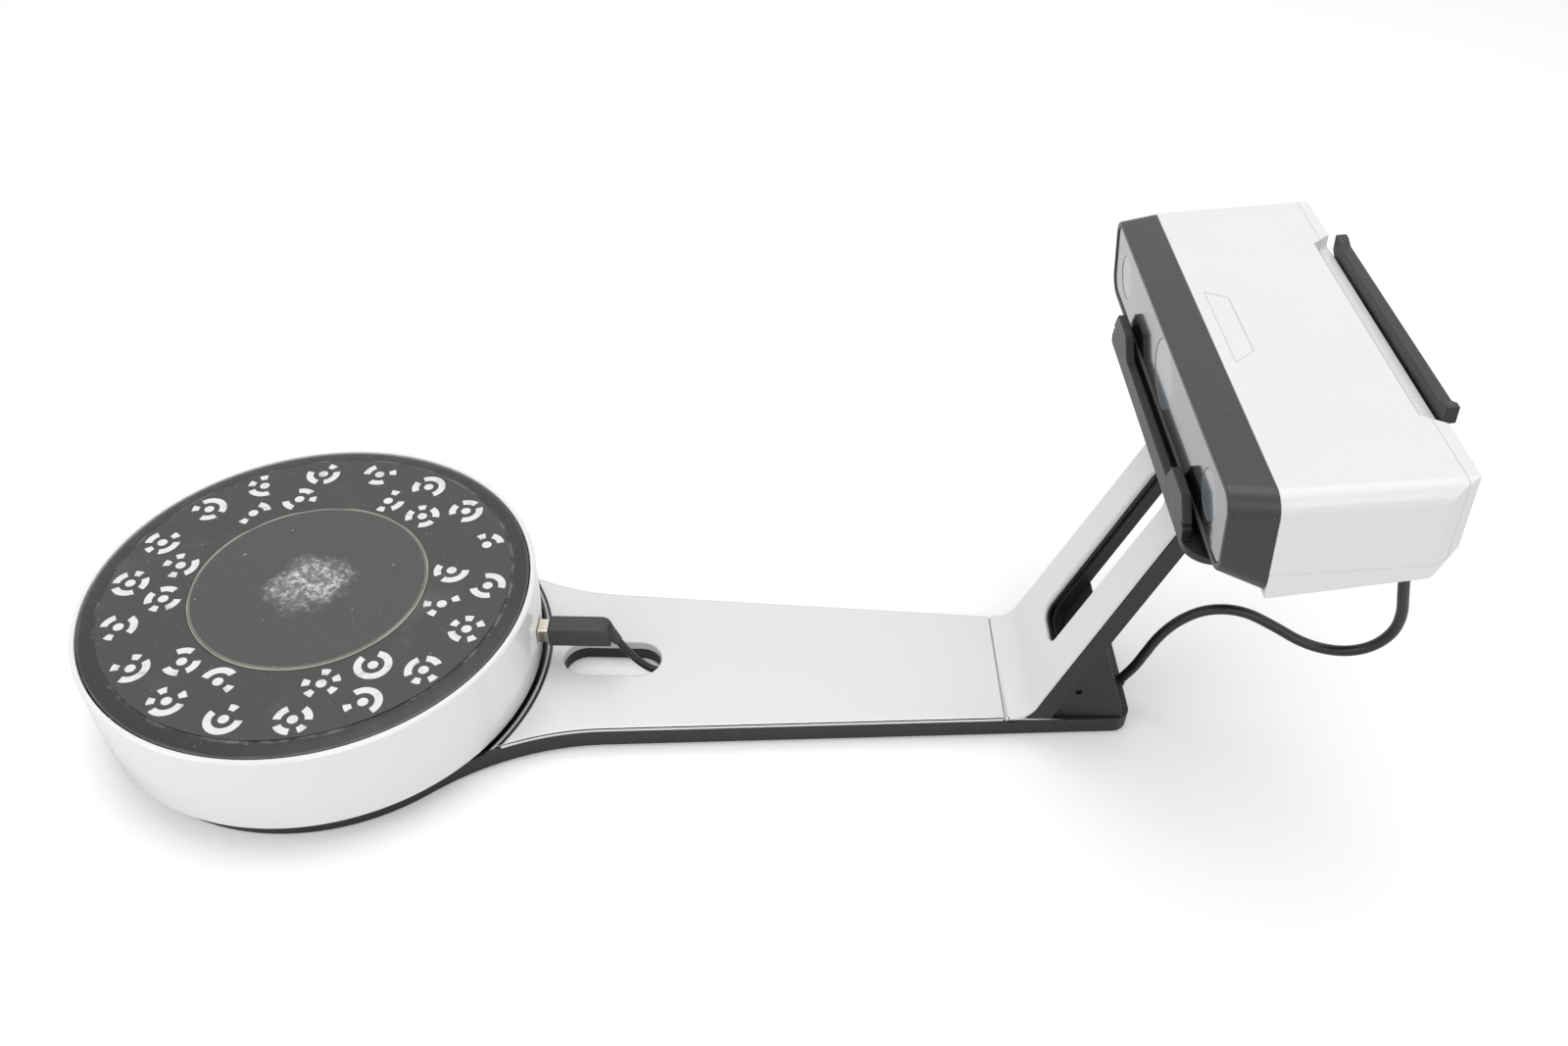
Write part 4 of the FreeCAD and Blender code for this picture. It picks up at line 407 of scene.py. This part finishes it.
def lined_ring():
    """Black steps; the raised land between them is painted silver."""
    material = finish("dock_ring", shade(40, 40, 41), 0.3, grain=3000, height=0.2, dust=0.1, tone=0.1)
    tree = material.node_tree
    place = add(tree, "ShaderNodeTexCoord").outputs["Object"]
    split = add(tree, "ShaderNodeSeparateXYZ")
    tree.links.new(place, split.inputs[0])
    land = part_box("dock_ring")[1][2]
    layered(material, band(tree, split.outputs["Z"], land - 0.3 * MM, land - 0.15 * MM), shade(176, 179, 182))
    return material


softened("dock_ring", 0.1 * MM, lined_ring())

# ---- Turntable drive -------------------------------------------------------------------------
# Inside the drum: a moulded pan and bearing housing, two ball bearings on a turned spindle, and
# a small stepper on a folded steel bracket that turns the platter's gear by a pinion.

moulded_grey = finish("moulded_grey", shade(70, 71, 74), 0.5, grain=2400, height=0.5, dust=0.2, tone=0.12)
bearing_steel = finish("bearing_steel", (0.66, 0.66, 0.67), 0.14, grain=7000, height=0.12, change=0.1,
                       dust=0.05, tone=0.1, metal=1.0)
turned_aluminium = finish("turned_aluminium", (0.74, 0.75, 0.76), 0.32, grain=6000, height=0.4,
                          change=0.12, dust=0.1, tone=0.08, metal=1.0)
bracket_steel = finish("bracket_steel", (0.48, 0.48, 0.49), 0.4, grain=3800, height=0.35, change=0.2,
                       dust=0.15, tone=0.2, metal=1.0)
acetal = finish("acetal", shade(226, 223, 213), 0.34, grain=3000, height=0.3, dust=0.25, tone=0.05)
motor_finish = finish("motor_finish", shade(38, 38, 40), 0.38, grain=2000, height=0.5, dust=0.3, tone=0.2)
for node, material in (
    ("turntable_pan", moulded_grey), ("spindle_housing", moulded_grey),
    ("bearing_inner_rings", bearing_steel), ("bearing_outer_rings", bearing_steel),
    ("bearing_balls", bearing_steel), ("spindle", turned_aluminium), ("spindle_screws", plated_steel),
    ("drive_gear", acetal), ("pinion", acetal), ("motor_shaft", bearing_steel),
    ("motor_bracket", bracket_steel), ("motor_screws", plated_steel), ("stepper_motor", motor_finish),
):
    dress(node, material)

# ---- Circuit boards --------------------------------------------------------------------------
# Green glass-fibre boards with a gloss of solder mask; copper tracks show through as a lighter
# weave. The turntable's board carries the steel socket for the lead.


def circuit_board():
    """Solder mask over tracks that run square to each other."""
    material = finish("circuit_board", shade(22, 92, 54), 0.22, grain=1200, height=0.4, dust=0.2, tone=0.3)
    tree = material.node_tree
    shader = tree.nodes["Principled BSDF"]
    place = add(tree, "ShaderNodeTexCoord").outputs["Object"]
    tracks = add(tree, "ShaderNodeTexBrick")
    tree.links.new(place, tracks.inputs["Vector"])
    tracks.inputs["Scale"].default_value = 180.0
    tracks.inputs["Mortar Size"].default_value = 0.03
    under = shader.inputs["Base Color"].links[0].from_socket
    traced = mixed(tree, tracks.outputs["Fac"], under, shade(60, 150, 88))
    tree.links.new(traced, shader.inputs["Base Color"])
    return material


board = circuit_board()
for node in ("turntable_board", "main_board", "button_board"):
    dress(node, board)
dress("board_standoffs", turned_aluminium)
dress("turntable_socket", plated_steel)

# ---- Drum ------------------------------------------------------------------------------------
# The turntable's housing is a shallow drum in glossy white ABS that leans in a little towards
# its foot, with a rounded lip round the platter and a window for the socket.

gloss_white = finish("gloss_white", shade(243, 243, 243), 0.12, grain=1500, height=0.08, depth=0.00001,
                     change=0.05, dust=0.12, tone=0.015, coat=0.4)
softened("drum_shell", 0.35 * MM, gloss_white, segments=3)

# ---- Platter and target sheet ----------------------------------------------------------------
# The platter is a black disc with a bevelled rim, handled until its edge has gone grey. On it
# lies a black film printed with thirty round coded targets, which the scanner reads to place
# the turntable: a dot in a ring of white sectors, each ring with its own code.


def from_axis(tree):
    """Distance from the turntable's axis, in metres."""
    place = add(tree, "ShaderNodeTexCoord").outputs["Object"]
    moved = add(tree, "ShaderNodeMapping", vector_type="POINT")
    moved.inputs["Location"].default_value = (-axis_x, 0, 0)
    moved.inputs["Scale"].default_value = (1, 1, 0)
    tree.links.new(place, moved.inputs["Vector"])
    length = add(tree, "ShaderNodeVectorMath", operation="LENGTH")
    tree.links.new(moved.outputs["Vector"], length.inputs[0])
    return length.outputs["Value"], moved.outputs["Vector"]


HANDLED_FROM, HANDLED_TO = 0.0995, 0.1016  # the outer edge, where hands have rubbed it grey
CREASE_IN = (0.0925, 0.0940)  # the bevel's top edge, from inside
CREASE_OUT = (0.0943, 0.0956)  # and from outside


def worn_platter():
    """Satin black, rubbed grey in patches along the outer edge and the top of the bevel."""
    material = finish("platter_black", shade(33, 33, 33), 0.36, grain=2600, height=0.45, depth=0.00003,
                      change=0.16, dust=0.5, tone=0.14)
    tree = material.node_tree
    radius, place = from_axis(tree)
    patches = noise(tree, place, 60.0, 4.0, 0.65)
    spared = math_node(tree, "MULTIPLY", patches, 0.9)
    edge = math_node(tree, "SUBTRACT", band(tree, radius, HANDLED_FROM, HANDLED_TO), spared)
    layered(material, band(tree, edge, 0.1, 0.6), shade(84, 84, 82))
    beyond = math_node(tree, "SUBTRACT", 1.0, band(tree, radius, *CREASE_OUT))
    crease = math_node(tree, "MULTIPLY", band(tree, radius, *CREASE_IN), beyond)
    rubbed = math_node(tree, "MULTIPLY", crease, band(tree, patches, 0.46, 0.62))
    layered(material, math_node(tree, "MULTIPLY", rubbed, 0.5), shade(140, 138, 130))
    return material


def printed_film():
    """Dark matt film with faint paler smears."""
    material = finish("target_film", shade(60, 60, 59), 0.44, grain=3600, height=0.3, depth=0.00002,
                      change=0.14, dust=0.7, tone=0.08)
    tree = material.node_tree
    place = from_axis(tree)[1]
    smears = noise(tree, place, 26.0, 5.0, 0.6)
    layered(material, math_node(tree, "MULTIPLY", band(tree, smears, 0.52, 0.78), 0.35), shade(112, 111, 108))
    return material


def white_print():
    """White ink, scuffed grey where it has been rubbed."""
    material = finish("white_print", shade(236, 237, 235), 0.45, grain=3000, height=0.3, depth=0.00001,
                      change=0.1, dust=0.2, tone=0.03)
    tree = material.node_tree
    place = add(tree, "ShaderNodeTexCoord").outputs["Object"]
    rubbed = noise(tree, place, 150.0, 5.0, 0.72)
    layered(material, math_node(tree, "MULTIPLY", band(tree, rubbed, 0.52, 0.70), 0.62), shade(150, 150, 147))
    return material


SECTORS = 12
OUTER_TARGETS = 18
INNER_TARGETS = 12
CODE_SEED = 23
TURN_SEED = 5
target_sizes = [
    ("Outer Ring", 83.5 * MM), ("Inner Ring", 65.5 * MM), ("Ring Inside", 5.0 * MM),
    ("Ring Outside", 8.4 * MM), ("Dot", 2.35 * MM), ("Height", 60.4 * MM), ("Ink", 0.03 * MM),
    ("Filled", 0.52),
]


def field_node(tree, kind, links, **settings):
    """A node with its inputs linked or set, by name or number."""
    made = add(tree, kind, **settings)
    for key, value in links.items():
        socket = made.inputs[key]
        if isinstance(value, bpy.types.NodeSocket):
            tree.links.new(value, socket)
        else:
            socket.default_value = value
    return made


def target_tree(material):
    """Coded targets on two rings: sectors kept at random, then a dot in the middle of each."""
    tree = bpy.data.node_groups.new("coded_targets", "GeometryNodeTree")
    tree.interface.new_socket("Geometry", in_out="INPUT", socket_type="NodeSocketGeometry")
    for name, value in target_sizes:
        tree.interface.new_socket(name, in_out="INPUT", socket_type="NodeSocketFloat").default_value = value
    tree.interface.new_socket("Geometry", in_out="OUTPUT", socket_type="NodeSocketGeometry")
    given = add(tree, "NodeGroupInput").outputs
    result = add(tree, "NodeGroupOutput")

    def sums(operation, first, second=None):
        return field_node(tree, "ShaderNodeMath", {0: first} if second is None else {0: first, 1: second},
                          operation=operation).outputs[0]

    def target_place(number):
        """The middle of a target from its number: the outer ring first, then pairs on the inner."""
        outer = sums("LESS_THAN", number, OUTER_TARGETS - 0.5)
        outer_turn = sums("ADD", sums("MULTIPLY", number, 2 * math.pi / OUTER_TARGETS), math.radians(1.0))
        late = sums("SUBTRACT", number, OUTER_TARGETS)
        pair = sums("FLOOR", sums("DIVIDE", late, 2))
        side = sums("SUBTRACT", sums("MULTIPLY", sums("MODULO", late, 2), math.radians(20)), math.radians(10))
        inner_turn = sums("ADD", sums("MULTIPLY", pair, math.radians(60)), side)
        turn = field_node(tree, "ShaderNodeMix", {0: outer, 2: inner_turn, 3: outer_turn}).outputs[0]
        reach = field_node(tree, "ShaderNodeMix",
                           {0: outer, 2: given["Inner Ring"], 3: given["Outer Ring"]}).outputs[0]
        x = sums("ADD", sums("MULTIPLY", reach, sums("COSINE", turn)), axis_x)
        y = sums("MULTIPLY", reach, sums("SINE", turn))
        return field_node(tree, "ShaderNodeCombineXYZ", {0: x, 1: y, 2: given["Height"]}).outputs[0]

    index = add(tree, "GeometryNodeInputIndex").outputs[0]
    count = OUTER_TARGETS + INNER_TARGETS
    number = sums("FLOOR", sums("DIVIDE", sums("ADD", index, 0.5), SECTORS))
    sector = sums("SUBTRACT", index, sums("MULTIPLY", number, SECTORS))
    places = field_node(tree, "GeometryNodePoints",
                        {"Count": count * SECTORS, "Position": target_place(number)})
    keep = field_node(tree, "FunctionNodeRandomValue",
                      {"Probability": given["Filled"], "ID": index, "Seed": CODE_SEED}, data_type="BOOLEAN")
    own_turn = field_node(tree, "FunctionNodeRandomValue",
                          {"ID": number, "Seed": TURN_SEED, 2: 0.0, 3: math.pi}, data_type="FLOAT")
    turn = sums("ADD", sums("MULTIPLY", sector, 2 * math.pi / SECTORS), own_turn.outputs[1])
    spin = field_node(tree, "ShaderNodeCombineXYZ", {2: turn})
    # one sector: a strip of four faces, bent round the target's middle
    strip = field_node(tree, "GeometryNodeMeshGrid",
                       {"Size X": 1.0, "Size Y": 1.0, "Vertices X": 5, "Vertices Y": 2})
    at = field_node(tree, "ShaderNodeSeparateXYZ", {0: add(tree, "GeometryNodeInputPosition").outputs[0]})
    swing = sums("MULTIPLY", at.outputs["X"], -2 * math.pi / SECTORS)
    middle = sums("MULTIPLY", sums("ADD", given["Ring Inside"], given["Ring Outside"]), 0.5)
    across = sums("MULTIPLY", at.outputs["Y"], sums("SUBTRACT", given["Ring Outside"], given["Ring Inside"]))
    reach = sums("ADD", middle, across)
    bent = field_node(tree, "ShaderNodeCombineXYZ",
                      {0: sums("MULTIPLY", reach, sums("COSINE", swing)),
                       1: sums("MULTIPLY", reach, sums("SINE", swing))})
    tile = field_node(tree, "GeometryNodeSetPosition",
                      {"Geometry": strip.outputs["Mesh"], "Position": bent.outputs[0]})
    rings = field_node(tree, "GeometryNodeInstanceOnPoints",
                       {"Points": places.outputs[0], "Selection": keep.outputs[3],
                        "Instance": tile.outputs[0], "Rotation": spin.outputs[0]})
    middles = field_node(tree, "GeometryNodePoints", {"Count": count, "Position": target_place(index)})
    disc = field_node(tree, "GeometryNodeMeshCircle", {"Vertices": 24, "Radius": given["Dot"]},
                      fill_type="NGON")
    dots = field_node(tree, "GeometryNodeInstanceOnPoints",
                      {"Points": middles.outputs[0], "Instance": disc.outputs[0]})
    both = add(tree, "GeometryNodeJoinGeometry")
    tree.links.new(rings.outputs[0], both.inputs[0])
    tree.links.new(dots.outputs[0], both.inputs[0])
    real = field_node(tree, "GeometryNodeRealizeInstances", {"Geometry": both.outputs[0]})
    fused = field_node(tree, "GeometryNodeMergeByDistance",
                       {"Geometry": real.outputs[0], "Distance": 0.02 * MM})
    up = field_node(tree, "ShaderNodeCombineXYZ", {2: 1.0})
    raised = field_node(tree, "GeometryNodeExtrudeMesh",
                        {"Mesh": fused.outputs[0], "Offset": up.outputs[0], "Offset Scale": given["Ink"],
                         "Individual": False})
    inked = field_node(tree, "GeometryNodeSetMaterial",
                       {"Geometry": raised.outputs["Mesh"], "Material": material})
    tree.links.new(inked.outputs[0], result.inputs[0])
    return tree


targets = plain_mesh("target_print", lambda form: None)
grown = targets.modifiers.new("targets", "NODES")
grown.node_group = target_tree(white_print())
for socket in grown.node_group.interface.items_tree:
    if socket.in_out == "INPUT" and socket.socket_type == "NodeSocketFloat":
        grown[socket.identifier] = dict(target_sizes)[socket.name]
settled(targets)
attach(targets, "platter")
softened("platter", 0.3 * MM, worn_platter(), segments=3, sharpest=20.0)
dress("target_sheet", printed_film())

# ---- Centre pad ------------------------------------------------------------------------------
# A thin black rubber pad glued on the middle of the platter. Its rim has gone pale, old adhesive
# stands in a fine bead round it, and chalk dust from scanned objects is ground into its middle.


PAD_RADIUS = 54.0 * MM
PAD_FOOT = 60.4 * MM
BEAD_AROUND = 240
BEAD_ACROSS = 6
CHALK_FULL, CHALK_GONE = 0.010, 0.022  # the chalk patch thins out between these radii
PALE_RIM = (0.0526, 0.0537)


def dusty_pad():
    """Black rubber with a ragged patch of chalk in its middle, pale specks and a pale rim."""
    material = finish("centre_rubber", shade(72, 72, 71), 0.5, grain=3000, height=0.5, depth=0.00004,
                      change=0.12, dust=0.6, tone=0.08)
    tree = material.node_tree
    radius, place = from_axis(tree)
    warp = noise(tree, place, 45.0, 4.0, 0.6)
    ragged = math_node(tree, "MULTIPLY", math_node(tree, "SUBTRACT", warp, 0.5), 0.03)
    shifted = math_node(tree, "ADD", radius, ragged)
    patch = math_node(tree, "SUBTRACT", 1.0, band(tree, shifted, CHALK_FULL, CHALK_GONE))
    crumbs = noise(tree, place, 300.0, 6.0, 0.75)
    lumps = noise(tree, place, 120.0, 5.0, 0.7)
    chalk = math_node(tree, "MULTIPLY", patch, band(tree, crumbs, 0.43, 0.60))
    chalk = math_node(tree, "MULTIPLY", chalk, band(tree, lumps, 0.36, 0.58))
    haze = math_node(tree, "MULTIPLY", patch, 0.34)
    layered(material, haze, shade(150, 150, 148))
    layered(material, chalk, shade(218, 218, 215))
    specks = band(tree, noise(tree, place, 230.0, 2.0, 0.5), 0.735, 0.76)
    layered(material, specks, shade(176, 175, 170))
    rim = band(tree, radius, *PALE_RIM)
    layered(material, math_node(tree, "MULTIPLY", rim, 0.75), shade(140, 139, 130))
    return material


def adhesive_bead(form):
    """A low bead of adhesive round the pad, uneven as it was squeezed out."""
    random.seed(11)
    swell = [random.uniform(0.25, 0.6) * MM for _ in range(40)]
    rings = []
    for step in range(BEAD_AROUND):
        turn = 2 * math.pi * step / BEAD_AROUND
        share = step * len(swell) / BEAD_AROUND
        early = int(share)
        late = (early + 1) % len(swell)
        thick = swell[early] + (swell[late] - swell[early]) * (share - early)
        ring = []
        for corner in range(BEAD_ACROSS + 1):
            lean = math.pi * corner / BEAD_ACROSS
            reach = PAD_RADIUS + 0.3 * MM + thick * math.cos(lean)
            height = PAD_FOOT + thick * math.sin(lean)
            ring.append(form.verts.new((axis_x + reach * math.cos(turn), reach * math.sin(turn), height)))
        rings.append(ring)
    for step in range(BEAD_AROUND):
        here, there = rings[step], rings[(step + 1) % BEAD_AROUND]
        for corner in range(BEAD_ACROSS + 1):
            after = (corner + 1) % (BEAD_ACROSS + 1)
            form.faces.new((here[corner], there[corner], there[after], here[after])).smooth = True
    bmesh.ops.recalc_face_normals(form, faces=form.faces)


bead = plain_mesh("pad_adhesive", adhesive_bead)
bead.data.materials.append(finish("old_adhesive", shade(172, 171, 160), 0.5, grain=1500, height=0.6,
                                  depth=0.00005, dust=0.5, tone=0.2))
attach(bead, "platter")
softened("centre_pad", 0.25 * MM, dusty_pad())

# ---- Arm -------------------------------------------------------------------------------------
# The base's end bends up into a leaning arm: the white cover in front, the black shell behind it,
# a long slot through both to lighten them, and a flat steel plate in between for stiffness.

softened("arm_cover", 1.0 * MM, silver_white, segments=3)
softened("arm_rear_shell", 0.35 * MM, black_plastic)
dress("arm_stiffener", bracket_steel)

# ---- Heel ------------------------------------------------------------------------------------
# A hollow black wedge closes the corner behind the arm, with a small hole through its sides. The
# scanner's lead leaves through a rubber grommet at its back.

softened("arm_heel", 0.35 * MM, black_plastic)
dress("lead_grommet", soft_rubber)

# ---- Cradle ----------------------------------------------------------------------------------
# A black tray screwed to the arm's top. Two prongs and a low front wall hold the scanner's face,
# a long rear wall holds its back, and two rubber pads keep it from sliding.

softened("cradle", 0.4 * MM, black_plastic, segments=3)
softened("cradle_pads", 0.3 * MM, soft_rubber)
dress("cradle_screws", plated_steel)

# ---- Scanner's inside ------------------------------------------------------------------------
# Two cameras and a projector on one aluminium bench, behind glass windows, with the main board,
# the power jack and the data port at the back.

lens_black = finish("lens_black", shade(26, 26, 28), 0.3, grain=5000, height=0.3, dust=0.15, tone=0.2)
for node, material in (
    ("optical_bench", turned_aluminium), ("camera_bodies", lens_black), ("camera_lens_barrels", lens_black),
    ("projector_engine", turned_aluminium), ("projector_lens_barrel", lens_black),
    ("power_jack", moulded_grey), ("usb_port", plated_steel), ("button_switch", moulded_grey),
):
    dress(node, material)

# ---- Scanner's face --------------------------------------------------------------------------
# A deep black bezel round a glossy black acrylic panel, with three round glass windows for the two
# cameras and the projector. The windows' pale grey is painted reflection of the bright room over the glass's
# own bluish tint.

bezel_black = finish("bezel_black", shade(51, 51, 52), 0.36, grain=3200, height=0.35, depth=0.00002,
                     change=0.08, dust=0.2, tone=0.08)
gloss_black = finish("gloss_black", shade(22, 23, 26), 0.06, grain=900, height=0.05, depth=0.00001,
                     change=0.04, dust=0.15, tone=0.1, specular=1.0, coat=1.0)
# the windows' pale grey is painted reflection of the bright room; the bluish cast is the coating's own tint
coated_glass_painted_reflection = finish("coated_glass_painted_reflection", shade(112, 118, 124), 0.05, grain=700, height=0.04, depth=0.00001,
                      change=0.03, dust=0.3, tone=0.1, specular=1.0, coat=1.0)
softened("front_bezel", 0.6 * MM, bezel_black, segments=3)
softened("front_panel", 0.25 * MM, gloss_black)
softened("camera_windows", 0.2 * MM, coated_glass_painted_reflection)
softened("projector_window", 0.2 * MM, coated_glass_painted_reflection)

# ---- Scanner's shells ------------------------------------------------------------------------
# Top and bottom shells in the silver-white satin of the arm, meeting low on the sides, and a rear
# cover let into them. The round button on the back switches the scanner on.

softened("head_top_shell", 0.5 * MM, silver_white, segments=3)
softened("head_bottom_shell", 0.5 * MM, silver_white, segments=3)
softened("rear_cover", 0.4 * MM, silver_white)
button_grey = finish("button_grey", shade(120, 122, 126), 0.3, grain=3000, height=0.3, dust=0.2, tone=0.08)
softened("power_button", 0.3 * MM, button_grey)

# ---- Plugs and strain reliefs ----------------------------------------------------------------
# Moulded black plugs with a satin skin; the turntable's has a bare nickel-plated tongue that
# stands part-way out of its socket. Tapered collars lead the cords out of them.

plug_black = finish("plug_black", shade(54, 54, 54), 0.48, grain=3000, height=0.5, depth=0.00003,
                    dust=0.3, tone=0.1)
turntable_plug = softened("turntable_plug", 0.5 * MM, plug_black, segments=3)
scanner_plug = softened("scanner_plug", 0.5 * MM, plug_black, segments=3)
dress("turntable_strain_relief", plug_black)
dress("scanner_strain_relief", plug_black)
nickel = finish("nickel", (0.78, 0.74, 0.64), 0.2, grain=5200, height=0.2, change=0.12, dust=0.1, tone=0.12,
                metal=1.0)
turntable_tongue = softened("turntable_plug_tongue", 0.4 * MM, nickel)
